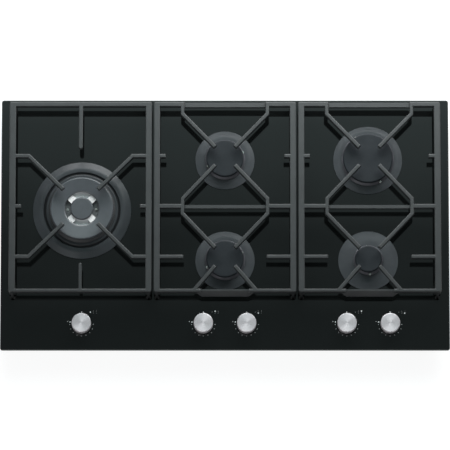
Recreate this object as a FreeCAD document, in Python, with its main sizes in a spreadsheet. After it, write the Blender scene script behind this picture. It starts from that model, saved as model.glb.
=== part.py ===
import FreeCAD, Part
import Sketcher
import math
import os
import re

# Built-in gas cooktop, five burners on a glass top, millimetres.
# +X right, +Y to the back, +Z up. The origin is under the middle of the flat tray bottom.

doc = FreeCAD.newDocument("gas_cooktop")
sheet = doc.addObject("Spreadsheet::Sheet", "sizes")

SIZES = {
    # glass top
    "glass_width": 900,
    "glass_depth": 510,
    "glass_thickness": 8,
    "glass_corner_radius": 5,
    "glass_bevel": 1.5,
    # steel tray under the glass
    "tray_side_inset": 44,
    "tray_end_inset": 28,
    "tray_depth": 50,
    "tray_sheet": 1,
    "tray_flange": 8,
    "tray_corner_radius": 9,
    "drill_overrun": 2,
    # recess in the tray bottom for the gas connection
    "inlet_side_setback": 34,
    "inlet_rear_setback": 37,
    "recess_size": 52,
    "recess_height": 30,
    # foam strip between glass and worktop
    "seal_inset": 6,
    "seal_width": 10,
    "seal_thickness": 3,
    # worktop clamps on the tray's side walls
    "clamp_setback": 107,
    "clamp_width": 26,
    "clamp_height": 28,
    "clamp_tongue": 24,
    "clamp_sheet": 2,
    "worktop_thickness": 30,
    "clamp_screw_radius": 2,
    "clamp_screw_head_radius": 4,
    "clamp_screw_head_height": 2.6,
    "clamp_screw_length": 10,
    # burner places under the pan supports
    "middle_burner_x": 0,
    "outer_burner_inset": 2,
    "rear_burner_setback": 110.3,
    "front_burner_setback": 71.4,
    # burner sizes
    "wok_ring_radius": 63.5,
    "wok_ring_hole_radius": 34,
    "wok_inner_cap_radius": 23,
    "wok_dish_radius": 98.5,
    "wok_groove_radius": 76,
    "wok_groove_bed": 3,
    "wok_groove_slope": 1.5,
    "wok_crest_width": 7,
    "wok_crown_height": 15,
    "wok_ring_thickness": 7,
    "wok_ring_inner_thickness": 3.5,
    "wok_inner_cap_thickness": 4.5,
    "rapid_cap_radius": 50,
    "rapid_dish_radius": 69.2,
    "semi_rapid_cap_radius": 37.5,
    "semi_rapid_dish_radius": 59.5,
    "auxiliary_cap_radius": 27,
    "auxiliary_dish_radius": 60,
    "crown_height": 13,
    "cap_thickness": 6,
    "cap_bevel": 2,
    # enamelled dish on the glass
    "dish_height": 6,
    "dish_sheet": 1.2,
    "dish_land": 7,
    "dish_seat_margin": 7,
    "gasket_thickness": 1,
    "gasket_width": 6,
    "gasket_margin": 1,
    # crown casting
    "crown_foot_overhang": 3,
    "crown_foot_width": 3,
    "crown_foot_height": 3,
    "crown_shoulder_height": 7,
    "crown_wall_inset": 3,
    "crown_wall": 5,
    "crown_underside": 3.5,
    "crown_floor": 2.5,
    "crown_lip_width": 2,
    "crown_lip_depth": 2,
    "venturi_radius": 8,
    "venturi_wall": 2,
    "venturi_gap": 3,
    "flame_slot_width": 1.8,
    "flame_slot_depth": 5,
    "slot_overrun": 1,
    "rapid_slots": 40,
    "semi_rapid_slots": 30,
    "auxiliary_slots": 24,
    "wok_ring_slots": 48,
    "wok_ring_inner_slots": 28,
    "wok_inner_slots": 16,
    "bridge_width": 14,
    "bridge_drop": 1.5,
    "bridge_passage_radius": 2,
    "bridge_passage_lift": 0.6,
    "first_bridge_angle": 45,
    "cap_rim_depth": 2,
    "cap_rim_width": 2.5,
    "cap_hollow": 1.5,
    "seat_clearance": 0.3,
    # burner cup under the glass
    "cup_inset": 5,
    "cup_rim": 7,
    "cup_rim_height": 14,
    "cup_wall": 2.5,
    "cup_floor": 2.5,
    "cup_base": 12,
    "cup_flange": 3,
    "cup_flange_margin": 8,
    "glass_hole_margin": 6,
    "boss_radius": 8,
    "feed_width": 11,
    "feed_height": 11,
    "feed_reach": 8,
    # probes
    "electrode_radius": 2.5,
    "electrode_tip_radius": 0.8,
    "electrode_offset": 1,
    "electrode_height": 6,
    "electrode_tip_length": 5.5,
    "thermocouple_radius": 1.8,
    "thermocouple_height": 10.5,
    "probe_tail": 8,
    "probe_collar_width": 1.3,
    "probe_collar_height": 3,
    "probe_clearance": 0.1,
    "probe_notch_clearance": 0.6,
    "wok_probe_radius": 28.5,
    "wok_probe_angle": 180,
    "rear_middle_probe_angle": 23,
    "front_middle_probe_angle": 202,
    "rear_right_probe_angle": 299,
    "front_right_probe_angle": 277,
    # dish screws
    "dish_screw_radius": 2,
    "dish_screw_head_radius": 3.4,
    "dish_screw_head_height": 2,
    "dish_screw_length": 11,
    "screw_clearance": 0.1,
    "first_screw_angle": 45,
    # injectors
    "injector_radius": 4,
    "injector_hex_radius": 5.5,
    "injector_hex_height": 5,
    "injector_bore_radius": 0.8,
    # gas pipes, rail and entry
    "pipe_height": 31,
    "pipe_radius": 3,
    "pipe_wall": 0.8,
    "pipe_bend_radius": 14,
    "pipe_lane_margin": 20,
    "pipe_jog": 26,
    "socket_depth": 4,
    "socket_wall": 2.5,
    "fit_clearance": 0.05,
    "rail_setback": 29,
    "rail_height": 16,
    "rail_size": 16,
    "rail_wall": 1.5,
    "rail_overhang": 18,
    "gas_port_radius": 2,
    "feed_pipe_radius": 5,
    "feed_pipe_wall": 1,
    "feed_pipe_bend_radius": 18,
    "feed_level_run": 70,
    "feed_slope_run": 60,
    "bracket_spacing": 235,
    "bracket_middle_x": 50,
    "bracket_width": 16,
    "bracket_foot_length": 34,
    "bracket_sheet": 2,
    "thread_radius": 10.48,
    "thread_length": 14,
    "lock_nut_radius": 13,
    "lock_nut_height": 2,
    "elbow_neck_radius": 9,
    "elbow_size": 25,
    "elbow_height": 15,
    "elbow_corner_radius": 3,
    "elbow_wall": 1.8,
    "elbow_bore_radius": 5,
    # taps
    "knob_setback": 24,
    "knob_spacing": 86.6,
    "tap_size": 24,
    "tap_bottom": 8,
    "tap_top": 40,
    "tap_neck_radius": 6.5,
    "tap_neck_height": 6,
    "plug_top_radius": 8,
    "plug_bottom_radius": 6.5,
    "plug_height": 22,
    "plug_bore_depth": 14,
    "plug_port_radius": 1.5,
    "spindle_radius": 3,
    "spindle_flat": 2.1,
    "spindle_engagement": 6,
    "outlet_reach": 8,
    "outlet_root": 2,
    "switch_width": 18,
    "switch_depth": 10,
    "switch_height": 8,
    "switch_gap": 1,
    # knobs and shaft seals
    "knob_radius": 19.4,
    "knob_height": 20.5,
    "knob_gap": 4.5,
    "knob_wall": 2.5,
    "knob_face": 3.5,
    "knob_bevel": 1.2,
    "knob_hub_radius": 6,
    "knob_hub_recess": 2,
    "spindle_cover": 5,
    "knob_hole_radius": 6.2,
    "shaft_seal_lip_radius": 9,
    "shaft_seal_lip_height": 1.5,
    # spark generator and mains lead gland
    "generator_x": -150,
    "generator_setback": 77,
    "generator_length": 80,
    "generator_width": 44,
    "generator_height": 26,
    "generator_corner_radius": 2.5,
    "terminal_width": 6,
    "terminal_length": 8,
    "terminal_pitch": 13,
    "terminal_sheet": 1,
    "gland_height": 25,
    "gland_radius": 6,
    "gland_bore_radius": 3.5,
    "gland_flange_radius": 9,
    "gland_flange": 3,
    "gland_nut": 5,
    # cast-iron pan supports
    "grate_side_margin": 18.5,
    "grate_back_margin": 13.7,
    "grate_gap": 4,
    "knob_to_grate": 38.2,
    "grate_top": 52,
    "grate_bar_height": 13,
    "side_rail": 12.6,
    "back_rail": 9.6,
    "front_rail": 6.3,
    "front_rail_height": 21,
    "grate_corner_radius": 4,
    "grate_edge_radius": 1.8,
    "finger_width": 7.6,
    "long_finger_width": 8.5,
    "short_finger_width": 6.7,
    "stub_length": 11.5,
    "side_finger_length": 47,
    "wok_bend_x": 103.8,
    "wok_tip_offset": 34.6,
    "wok_back_finger_gap": 22.4,
    "wok_front_finger_gap": 19.9,
    "finger_x": 85,
    "finger_straight": 15,
    "tip_x": 19.6,
    "tip_offset": 18.2,
    "front_finger_root_x": 62.4,
    "crossbar_width": 8.7,
    "lowered_bar_width": 6.7,
    "lowered_bar_drop": 8,
    "lowered_bar_height": 11,
    "apron_ledge": 3,
    "apron_reach": 6,
    "apron_height": 16,
    "apron_root_half": 63,
    "apron_edge_half": 47,
    "leg_length": 12,
    "leg_gusset": 16,
    "leg_toe": 8,
    "foot_height": 3,
    "foot_radius": 4.5,
    "foot_margin": 1,
}

for row, (word, number) in enumerate(SIZES.items(), start=1):
    sheet.set(f"A{row}", word)
    sheet.set(f"B{row}", str(number))
    sheet.setAlias(f"B{row}", word)
doc.recompute()

# places that follow from the sizes
LAYOUT = {
    "tray_width": "(glass_width - 2 * tray_side_inset)",
    "tray_length": "(glass_depth - 2 * tray_end_inset)",
    "clamp_y": "(tray_length / 2 - clamp_setback)",
    "inlet_x": "(tray_width / 2 - inlet_side_setback)",
    "inlet_y": "(tray_length / 2 - inlet_rear_setback)",
    "generator_y": "(tray_length / 2 - generator_setback)",
    "knob_y": "(knob_setback - tray_length / 2)",
    "rail_y": "(knob_y + rail_setback)",
    "grate_width": "((glass_width - 2 * grate_side_margin - 2 * grate_gap) / 3)",
    "grate_pitch": "(grate_width + grate_gap)",
    "grate_front": "(knob_y + knob_radius + knob_to_grate)",
    "grate_back": "(glass_depth / 2 - grate_back_margin)",
    "left_burner_x": "(outer_burner_inset - grate_pitch)",
    "right_burner_x": "(grate_pitch - outer_burner_inset)",
    "rear_burner_y": "(grate_back - rear_burner_setback)",
    "front_burner_y": "(grate_front + front_burner_setback)",
    "wok_burner_y": "crossbar_y",
    "crossbar_y": "((rear_burner_y + front_burner_y) / 2)",
    "wok_back_finger_tip": "(wok_burner_y + wok_dish_radius + wok_back_finger_gap)",
    "wok_front_finger_tip": "(wok_burner_y - wok_dish_radius - wok_front_finger_gap)",
    "rail_left_end": "(left_burner_x - rail_overhang)",
    "rail_right_end": "(right_burner_x + knob_spacing / 2 + rail_overhang)",
}

# heights that many pieces share, as formulas of the sheet
UNDERSIDE = "tray_depth"
TOP = "(tray_depth + glass_thickness)"
SEAT = f"({TOP} + dish_height)"
FLANGE_TOP = f"({UNDERSIDE} - gasket_thickness)"
COLLAR_TOP = f"({SEAT} - dish_sheet)"
FLOOR_LOW = f"({SEAT} + crown_underside)"
FLOOR = f"({FLOOR_LOW} + crown_floor)"
BOSS_TOP = "(pipe_height + feed_height / 2)"
VENTURI_LOW = f"({BOSS_TOP} + injector_hex_height + venturi_gap)"
GRATE_TOP = f"({TOP} + grate_top)"
GRATE_LOW = f"({GRATE_TOP} - grate_bar_height)"
RAIL_FRONT = "(rail_y - rail_size / 2)"
KNOB_LOW = f"({TOP} + knob_gap)"
KNOB_TOP = f"({KNOB_LOW} + knob_height)"
SPINDLE_TOP = f"({KNOB_TOP} - spindle_cover)"
PLUG_TOP = "(tap_top - tap_neck_height)"
ELBOW_Z = "(recess_height + tray_sheet + elbow_height / 2)"

TOLERANCE = 1e-4
pieces = []


def bound(formula):
    """The formula with each place written out and each size name pointing at its cell."""
    def written_out(word):
        if word[0] in LAYOUT:
            return bound(LAYOUT[word[0]])
        return "sizes." + word[0] if word[0] in SIZES else word[0]

    return re.sub(r"[a-z_]+", written_out, str(formula))


def value(formula):
    """The number that a formula of the sheet gives now."""
    return float(sheet.evalExpression(bound(formula)))


def bind(thing, **formulas):
    """Ties properties to formulas; x, y, z and turn stand for the placement."""
    places = {"x": "Placement.Base.x", "y": "Placement.Base.y", "z": "Placement.Base.z"}
    places["turn"] = "Placement.Rotation.Angle"
    for key, formula in formulas.items():
        thing.setExpression(places.get(key, key), bound(formula))
    return thing


def keep(thing, name, **formulas):
    """Marks a finished sub-part: its label names the file, its placement is bound."""
    thing.Label = name
    bind(thing, **formulas)
    pieces.append(thing)
    return thing


def polar(radius, angle):
    """The two coordinates of a point at this radius and angle, as formulas."""
    return f"(({radius}) * cos({angle}))", f"(({radius}) * sin({angle}))"


def box(name, x, y, z, length, width, height):
    """A block with its low corner at x, y, z."""
    block = doc.addObject("Part::Box", name)
    return bind(block, x=x, y=y, z=z, Length=length, Width=width, Height=height)


def centred_box(name, x, y, z, length, width, height):
    """A block standing on z, centred on x and y."""
    return box(name, f"({x}) - ({length}) / 2", f"({y}) - ({width}) / 2", z, length, width, height)


def rod(name, x, y, z, radius, height):
    """An upright round rod standing on z."""
    cylinder = doc.addObject("Part::Cylinder", name)
    return bind(cylinder, x=x, y=y, z=z, Radius=radius, Height=height)


def lying_rod(name, x, y, z, radius, length, along):
    """A round rod that starts at x, y, z and runs along +X or +Y."""
    cylinder = rod(name, x, y, z, radius, length)
    axis = FreeCAD.Vector(0, 1, 0) if along == "X" else FreeCAD.Vector(-1, 0, 0)
    cylinder.Placement.Rotation = FreeCAD.Rotation(axis, 90)
    return cylinder


def fuse(name, *shapes):
    """One solid from several that meet."""
    union = doc.addObject("Part::MultiFuse", name)
    union.Shapes = list(shapes)
    union.Refine = True
    return union


def cut(name, base, *tools):
    """The base with every tool taken out of it."""
    difference = doc.addObject("Part::Cut", name)
    difference.Base = base
    difference.Tool = tools[0] if len(tools) == 1 else fuse(name + "_tools", *tools)
    difference.Refine = True
    return difference


def group(name, solids):
    """Like pieces that share a node, still separate solids."""
    compound = doc.addObject("Part::Compound", name)
    compound.Links = solids
    return keep(compound, name)


def edges_where(thing, test):
    """The numbers of the edges of a shape for which the test holds."""
    return [i for i, edge in enumerate(thing.Shape.Edges, start=1) if test(edge)]


def eased(kind, name, base, radius, test):
    """A Part::Fillet or Part::Chamfer on the edges of the base for which the test holds."""
    doc.recompute()
    size = value(radius)
    finish = doc.addObject("Part::" + kind, name)
    finish.Base = base
    finish.Edges = [(i, size, size) for i in edges_where(base, test)]
    return finish


def upright(edge):
    """True for a straight edge that runs along Z."""
    if not isinstance(edge.Curve, Part.Line):
        return False
    return abs(abs(edge.tangentAt(edge.FirstParameter).z) - 1) < TOLERANCE


def at_height(formula):
    """A test for edges that lie flat at this height."""
    height = value(formula)
    return lambda edge: max(abs(edge.BoundBox.ZMin - height),
                            abs(edge.BoundBox.ZMax - height)) < TOLERANCE


def rounded_box(name, x, y, z, length, width, height, radius):
    """A centred block with its four upright edges rounded."""
    block = centred_box(name + "_block", x, y, z, length, width, height)
    return eased("Fillet", name, block, radius, upright)


def plane_of(body, role):
    """One of the body's own origin planes or axes."""
    return next(f for f in body.Origin.OriginFeatures if f.Role == role)


def outline_sketch(body, name, role, corners):
    """A closed sketch through corners that are pairs of formulas."""
    sketch = body.newObject("Sketcher::SketchObject", name)
    sketch.AttachmentSupport = [(plane_of(body, role), "")]
    sketch.MapMode = "FlatFace"
    points = [FreeCAD.Vector(value(u), value(v), 0) for u, v in corners]
    for i, point in enumerate(points):
        sketch.addGeometry(Part.LineSegment(point, points[(i + 1) % len(points)]), False)
    for i, (u, v) in enumerate(corners):
        follower = (i + 1) % len(corners)
        sketch.addConstraint(Sketcher.Constraint("Coincident", i, 2, follower, 1))
        for kind, formula in (("DistanceX", u), ("DistanceY", v)):
            place = sketch.addConstraint(Sketcher.Constraint(kind, -1, 1, i, 1, value(formula)))
            sketch.setExpression(f"Constraints[{place}]", bound(formula))
    return sketch


def turned(name, outline):
    """A body of revolution about Z from an outline of radius and height pairs."""
    body = doc.addObject("PartDesign::Body", name)
    sketch = outline_sketch(body, name + "_outline", "XZ_Plane", outline)
    turn = body.newObject("PartDesign::Revolution", name + "_turn")
    turn.Profile = sketch
    turn.ReferenceAxis = (sketch, ["V_Axis"])
    turn.Angle = 360
    doc.recompute()
    return body


def slot_ring(body, name, inner, outer, height, width, depth, count):
    """A ring of radial slots cut down from this height through a wall of the body."""
    corners = [(inner, f"-({width}) / 2"), (outer, f"-({width}) / 2")]
    corners += [(outer, f"({width}) / 2"), (inner, f"({width}) / 2")]
    sketch = outline_sketch(body, name + "_outline", "XY_Plane", corners)
    sketch.setExpression("AttachmentOffset.Base.z", bound(height))
    before = body.Shape.Volume
    slot = body.newObject("PartDesign::Pocket", name)
    slot.Profile = sketch
    slot.Refine = False
    bind(slot, Length=depth)
    doc.recompute()
    if body.Shape.Volume >= before:
        raise ValueError(name + " cuts nothing")
    ring = body.newObject("PartDesign::PolarPattern", name + "_ring")
    ring.Originals = [slot]
    ring.Refine = False
    ring.Axis = (plane_of(body, "Z_Axis"), [""])
    ring.Angle = 360
    bind(ring, Occurrences=count)
    body.Tip = ring
    doc.recompute()


def d_rod(name, x, y, low, high, radius, flat):
    """An upright rod with a flat on its back, like a spindle's end."""
    round_rod = rod(name + "_round", x, y, low, radius, f"({high}) - ({low})")
    reach = f"({radius}) * 2"
    trim = box(name + "_trim", f"({x}) - ({radius})", f"({y}) + ({flat})", low, reach, reach,
               f"({high}) - ({low})")
    return cut(name, round_rod, trim)


# ---- the five burners -------------------------------------------------------------------------
def cup_radius(cap):
    """Outside of the cup and of its collar, which rises through the glass."""
    return f"({cap} - cup_inset)"


def hole_radius(cap):
    """Hole in the glass for a burner."""
    return f"({cap} + glass_hole_margin)"


BURNERS = {
    "wok": {
        "x": "left_burner_x", "y": "wok_burner_y", "cap": "wok_ring_radius",
        "dish": "wok_dish_radius", "angle": "wok_probe_angle", "fed_from": "front",
        "knob_x": "left_burner_x", "crown": "wok_crown_height",
    },
    "rear_middle": {
        "x": "middle_burner_x", "y": "rear_burner_y", "cap": "semi_rapid_cap_radius",
        "dish": "semi_rapid_dish_radius", "angle": "rear_middle_probe_angle", "fed_from": "left",
        "knob_x": "(middle_burner_x - knob_spacing / 2)", "slots": "semi_rapid_slots",
        "crown": "crown_height",
    },
    "front_middle": {
        "x": "middle_burner_x", "y": "front_burner_y", "cap": "semi_rapid_cap_radius",
        "dish": "semi_rapid_dish_radius", "angle": "front_middle_probe_angle", "fed_from": "front",
        "knob_x": "(middle_burner_x + knob_spacing / 2)", "slots": "semi_rapid_slots",
        "crown": "crown_height",
    },
    "rear_right": {
        "x": "right_burner_x", "y": "rear_burner_y", "cap": "rapid_cap_radius",
        "dish": "rapid_dish_radius", "angle": "rear_right_probe_angle", "fed_from": "left",
        "knob_x": "(right_burner_x - knob_spacing / 2)", "slots": "rapid_slots",
        "crown": "crown_height",
    },
    "front_right": {
        "x": "right_burner_x", "y": "front_burner_y", "cap": "auxiliary_cap_radius",
        "dish": "auxiliary_dish_radius", "angle": "front_right_probe_angle", "fed_from": "front",
        "knob_x": "(right_burner_x + knob_spacing / 2)", "slots": "auxiliary_slots",
        "crown": "crown_height",
    },
}


# ---- glass top --------------------------------------------------------------------------------
def make_glass_top():
    """Black glass with a burner hole and a knob hole for each burner."""
    plate = rounded_box("glass_plate", 0, 0, UNDERSIDE, "glass_width", "glass_depth",
                        "glass_thickness", "glass_corner_radius")
    edged = eased("Chamfer", "glass_edged", plate, "glass_bevel", at_height(TOP))
    holes = []
    for name, burner in BURNERS.items():
        holes.append(rod(name + "_glass_hole", burner["x"], burner["y"], UNDERSIDE,
                         hole_radius(burner["cap"]), "glass_thickness"))
        holes.append(rod(name + "_knob_hole", burner["knob_x"], "knob_y", UNDERSIDE,
                         "knob_hole_radius", "glass_thickness"))
    keep(cut("glass_top", edged, *holes), "glass_top")


# ---- tray, seal and clamps --------------------------------------------------------------------
def clamp_places():
    """The four clamps: side sign and the two places along a side wall."""
    return [(side, end) for side in (-1, 1) for end in (-1, 1)]


def make_bottom_tray():
    """Pressed steel tray: a flange under the glass and a raised recess for the gas entry."""
    outer = rounded_box("tray_outer", 0, 0, 0, "tray_width", "tray_length", "tray_depth",
                        "tray_corner_radius")
    flange = rounded_box("tray_rim", 0, 0, "tray_depth - tray_sheet",
                         "tray_width + 2 * tray_flange", "tray_length + 2 * tray_flange",
                         "tray_sheet", "tray_corner_radius + tray_flange")
    inner = rounded_box("tray_inner", 0, 0, "tray_sheet", "tray_width - 2 * tray_sheet",
                        "tray_length - 2 * tray_sheet", "tray_depth",
                        "tray_corner_radius - tray_sheet")
    shell = cut("tray_shell", fuse("tray_solid", outer, flange), inner)
    pocket = centred_box("recess_outer", "inlet_x", "inlet_y", 0, "recess_size + 2 * tray_sheet",
                         "recess_size + 2 * tray_sheet", "recess_height + tray_sheet")
    hollow = centred_box("recess_inner", "inlet_x", "inlet_y", 0, "recess_size", "recess_size",
                         "recess_height")
    tools = [hollow]
    tools.append(rod("recess_hole", "inlet_x", "inlet_y", "recess_height",
                     "elbow_neck_radius + screw_clearance", "tray_sheet"))
    tools.append(lying_rod("gland_hole", "generator_x", "tray_length / 2 - tray_sheet - drill_overrun",
                           "gland_height", "gland_radius + screw_clearance",
                           "tray_sheet + 2 * drill_overrun", "Y"))
    for side, end in clamp_places():
        tools.append(lying_rod(f"clamp_hole_{side}_{end}".replace("-", "n"),
                               f"{side} * (tray_width - tray_sheet) / 2 - drill_overrun",
                               f"{end} * clamp_y", "tray_depth / 2",
                               "clamp_screw_radius + screw_clearance", "2 * drill_overrun", "X"))
    keep(cut("bottom_tray", fuse("tray_with_recess", shell, pocket), *tools), "bottom_tray")


def make_worktop_seal():
    """Foam strip all round, under the edge of the glass."""
    z = f"{UNDERSIDE} - seal_thickness"
    outer = centred_box("seal_outer", 0, 0, z, "glass_width - 2 * seal_inset",
                        "glass_depth - 2 * seal_inset", "seal_thickness")
    inner = centred_box("seal_inner", 0, 0, z, "glass_width - 2 * seal_inset - 2 * seal_width",
                        "glass_depth - 2 * seal_inset - 2 * seal_width", "seal_thickness")
    keep(cut("worktop_seal", outer, inner), "worktop_seal")


def make_clamps():
    """Four L brackets that grip the underside of the worktop, and their screws."""
    brackets = []
    screws = []
    tongue_top = f"({UNDERSIDE} - seal_thickness - worktop_thickness)"
    for side, end in clamp_places():
        tag = f"{'left' if side < 0 else 'right'}_{'front' if end < 0 else 'rear'}"
        wall = f"({side} * tray_width / 2)"
        middle = f"({end} * clamp_y)"
        plate = centred_box(tag + "_plate", f"{wall} + {side} * clamp_sheet / 2", middle,
                            f"{tongue_top} - clamp_sheet", "clamp_sheet", "clamp_width",
                            "clamp_height")
        tongue = centred_box(tag + "_tongue", f"{wall} + {side} * clamp_tongue / 2", middle,
                             f"{tongue_top} - clamp_sheet", "clamp_tongue", "clamp_width",
                             "clamp_sheet")
        hole = lying_rod(tag + "_clamp_bore", f"{wall} + ({side} - 1) / 2 * clamp_sheet", middle,
                         "tray_depth / 2", "clamp_screw_radius + screw_clearance", "clamp_sheet", "X")
        brackets.append(cut(tag + "_clamp", fuse(tag + "_angle", plate, tongue), hole))
        face = f"({wall} + {side} * clamp_sheet)"
        shank = lying_rod(tag + "_shank", f"{face} - ({side} + 1) / 2 * clamp_screw_length", middle,
                          "tray_depth / 2", "clamp_screw_radius", "clamp_screw_length", "X")
        head = lying_rod(tag + "_head", f"{face} + ({side} - 1) / 2 * clamp_screw_head_height",
                         middle, "tray_depth / 2", "clamp_screw_head_radius",
                         "clamp_screw_head_height", "X")
        screws.append(fuse(tag + "_clamp_screw", shank, head))
    group("clamp_brackets", brackets)
    group("clamp_screws", screws)


# ---- burners: what stays ----------------------------------------------------------------------
def probe_offsets(name):
    """Electrode and thermocouple of a burner: kind, and place from the burner's centre."""
    burner = BURNERS[name]
    radii = (f"({burner['cap']} + electrode_offset)", burner["cap"])
    if name == "wok":
        radii = ("wok_probe_radius", "wok_probe_radius")
    angles = (burner["angle"], f"({burner['angle']} + 180)")
    spots = [polar(radius, angle) for radius, angle in zip(radii, angles)]
    return list(zip(("electrode", "thermocouple"), spots))


def probe_places(name):
    """The same two places on the cooktop."""
    burner = BURNERS[name]
    return [(kind, f"({burner['x']} + {dx})", f"({burner['y']} + {dy})")
            for kind, (dx, dy) in probe_offsets(name)]


def probe_support(name):
    """Height of what the probes' collars stand on: the cup's flange, or the wok cup's floor."""
    return "(cup_base + cup_floor)" if name == "wok" else FLANGE_TOP


def screw_places(name):
    """Centres of the three screws that draw dish and cup together."""
    burner = BURNERS[name]
    radius = f"({cup_radius(burner['cap'])} - cup_rim / 2)"
    places = []
    for third in range(3):
        dx, dy = polar(radius, f"(first_screw_angle + {120 * third})")
        places.append((f"({burner['x']} + {dx})", f"({burner['y']} + {dy})"))
    return places


def feed_end(name):
    """Where the pipe enters the cup: the outer end of the feed arm."""
    burner = BURNERS[name]
    reach = f"({cup_radius(burner['cap'])} + feed_reach)"
    if burner["fed_from"] == "front":
        return f"({burner['x']})", f"({burner['y']} - {reach})"
    return f"({burner['x']} - {reach})", f"({burner['y']})"


def cup_solid(name):
    """Cast cup: pot, flange under the glass, collar through it, feed arm and injector boss."""
    burner = BURNERS[name]
    radius = cup_radius(burner["cap"])
    flange = f"({hole_radius(burner['cap'])} + cup_flange_margin)"
    flange_low = f"({FLANGE_TOP} - cup_flange)"
    rim_in = f"({radius} - cup_rim)"
    rim_low = f"({COLLAR_TOP} - cup_rim_height)"
    pot_in = f"({radius} - cup_wall)"
    pot_floor = "(cup_base + cup_floor)"
    outline = [(0, "cup_base"), (radius, "cup_base"), (radius, flange_low), (flange, flange_low),
               (flange, FLANGE_TOP), (radius, FLANGE_TOP), (radius, COLLAR_TOP),
               (rim_in, COLLAR_TOP), (rim_in, rim_low), (pot_in, rim_low), (pot_in, pot_floor),
               ("boss_radius", pot_floor), ("boss_radius", BOSS_TOP), (0, BOSS_TOP)]
    pot = bind(turned(name + "_pot", outline), x=burner["x"], y=burner["y"])
    x, y = burner["x"], burner["y"]
    end_x, end_y = feed_end(name)
    arm_low = "pipe_height - feed_height / 2"
    reach = f"({radius} + feed_reach)"
    if burner["fed_from"] == "front":
        arm = box(name + "_arm", f"{x} - feed_width / 2", end_y, arm_low, "feed_width", reach,
                  "feed_height")
        along = "Y"
    else:
        arm = box(name + "_arm", end_x, f"{y} - feed_width / 2", arm_low, reach, "feed_width",
                  "feed_height")
        along = "X"
    tools = [lying_rod(name + "_socket", end_x, end_y, "pipe_height",
                       "pipe_radius + fit_clearance", "socket_depth", along),
             lying_rod(name + "_passage", end_x, end_y, "pipe_height", "gas_port_radius", reach,
                       along),
             rod(name + "_jet_bore", x, y, "pipe_height", "injector_radius + fit_clearance",
                 "feed_height / 2")]
    support = probe_support(name)
    for kind, px, py in probe_places(name):
        tools.append(rod(f"{name}_{kind}_bore", px, py, f"{support} - cup_flange",
                         f"{kind}_radius + probe_clearance", "cup_flange"))
    for i, (sx, sy) in enumerate(screw_places(name)):
        tools.append(rod(f"{name}_thread_{i}", sx, sy, f"{COLLAR_TOP} - dish_screw_length",
                         "dish_screw_radius + fit_clearance", "dish_screw_length"))
    return cut(name + "_cup_cut", fuse(name + "_cup_casting", pot, arm), *tools)


def make_cups():
    """One cup under each burner; the two semi-rapid cups are alike and share a node."""
    keep(cup_solid("wok"), "wok_burner_cup")
    keep(cup_solid("rear_right"), "rapid_burner_cup")
    keep(cup_solid("front_right"), "auxiliary_burner_cup")
    group("semi_rapid_burner_cups", [cup_solid("rear_middle"), cup_solid("front_middle")])


def make_dish(name):
    """Enamelled steel dish on the glass round a burner, with a sloping skirt."""
    burner = BURNERS[name]
    rim = burner["dish"]
    bore = f"({cup_radius(burner['cap'])} - cup_rim)"
    seat = f"({burner['cap']} + dish_seat_margin)"
    rim_low = f"({TOP} + gasket_thickness)"
    under = COLLAR_TOP
    top_line = [(rim, f"({rim_low} + dish_sheet)")]
    low_line = [(f"({rim} - dish_land)", rim_low)]
    if name == "wok":
        crest = f"({SEAT} + dish_sheet)"
        bed = f"({SEAT} - dish_sheet)"
        bed_half = "wok_groove_bed / 2"
        brim = f"({bed_half} + wok_groove_slope)"
        shoulder = f"(wok_groove_radius + {brim} + wok_crest_width)"
        top_line += [(shoulder, crest), (f"(wok_groove_radius + {brim})", crest),
                     (f"(wok_groove_radius + {bed_half})", bed),
                     (f"(wok_groove_radius - {bed_half})", bed),
                     (f"(wok_groove_radius - {brim})", SEAT)]
        low_line += [(shoulder, SEAT), (f"(wok_groove_radius + {brim} + dish_sheet)", SEAT),
                     (f"(wok_groove_radius + {bed_half} + dish_sheet)", f"({bed} - dish_sheet)"),
                     (f"(wok_groove_radius - {bed_half} - dish_sheet)", f"({bed} - dish_sheet)"),
                     (f"(wok_groove_radius - {brim} - dish_sheet)", under)]
    else:
        top_line += [(seat, SEAT)]
        low_line += [(f"({seat} - dish_sheet / 2)", under)]
    outline = [(rim, rim_low)] + top_line + [(bore, SEAT), (bore, under)] + low_line[::-1]
    dish = bind(turned(name + "_dish_pressing", outline), x=burner["x"], y=burner["y"])
    tools = []
    if name != "wok":
        for kind, px, py in probe_places(name):
            tools.append(rod(f"{name}_{kind}_dish_hole", px, py, TOP,
                             f"{kind}_radius + probe_notch_clearance", "2 * dish_height"))
    for i, (sx, sy) in enumerate(screw_places(name)):
        tools.append(rod(f"{name}_dish_hole_{i}", sx, sy, TOP,
                         "dish_screw_radius + screw_clearance", "2 * dish_height"))
    keep(cut(name + "_dish_cut", dish, *tools), name + "_burner_dish")


def make_gaskets():
    """At each burner one ring between dish and glass, and one between glass and cup flange."""
    rings = []
    for name, burner in BURNERS.items():
        x, y = burner["x"], burner["y"]
        hole = hole_radius(burner["cap"])
        spans = {"dish": (f"({burner['dish']} - dish_land)", f"({burner['dish']} - gasket_margin)",
                          TOP),
                 "cup": (f"({hole} + gasket_margin)", f"({hole} + gasket_margin + gasket_width)",
                         FLANGE_TOP)}
        for part, (inner, outer, z) in spans.items():
            tag = f"{name}_{part}_gasket"
            rings.append(cut(tag, rod(tag + "_disc", x, y, z, outer, "gasket_thickness"),
                             rod(tag + "_hole", x, y, z, inner, "gasket_thickness")))
    group("burner_gaskets", rings)


def make_dish_screws():
    """Three pan-head screws a burner, hidden under the crown."""
    screws = []
    for name in BURNERS:
        for i, (x, y) in enumerate(screw_places(name)):
            shank = rod(f"{name}_screw_shank_{i}", x, y, f"{SEAT} - dish_screw_length",
                        "dish_screw_radius", "dish_screw_length")
            head = rod(f"{name}_screw_head_{i}", x, y, SEAT, "dish_screw_head_radius",
                       "dish_screw_head_height")
            screws.append(fuse(f"{name}_screw_{i}", shank, head))
    group("dish_screws", screws)


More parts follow.
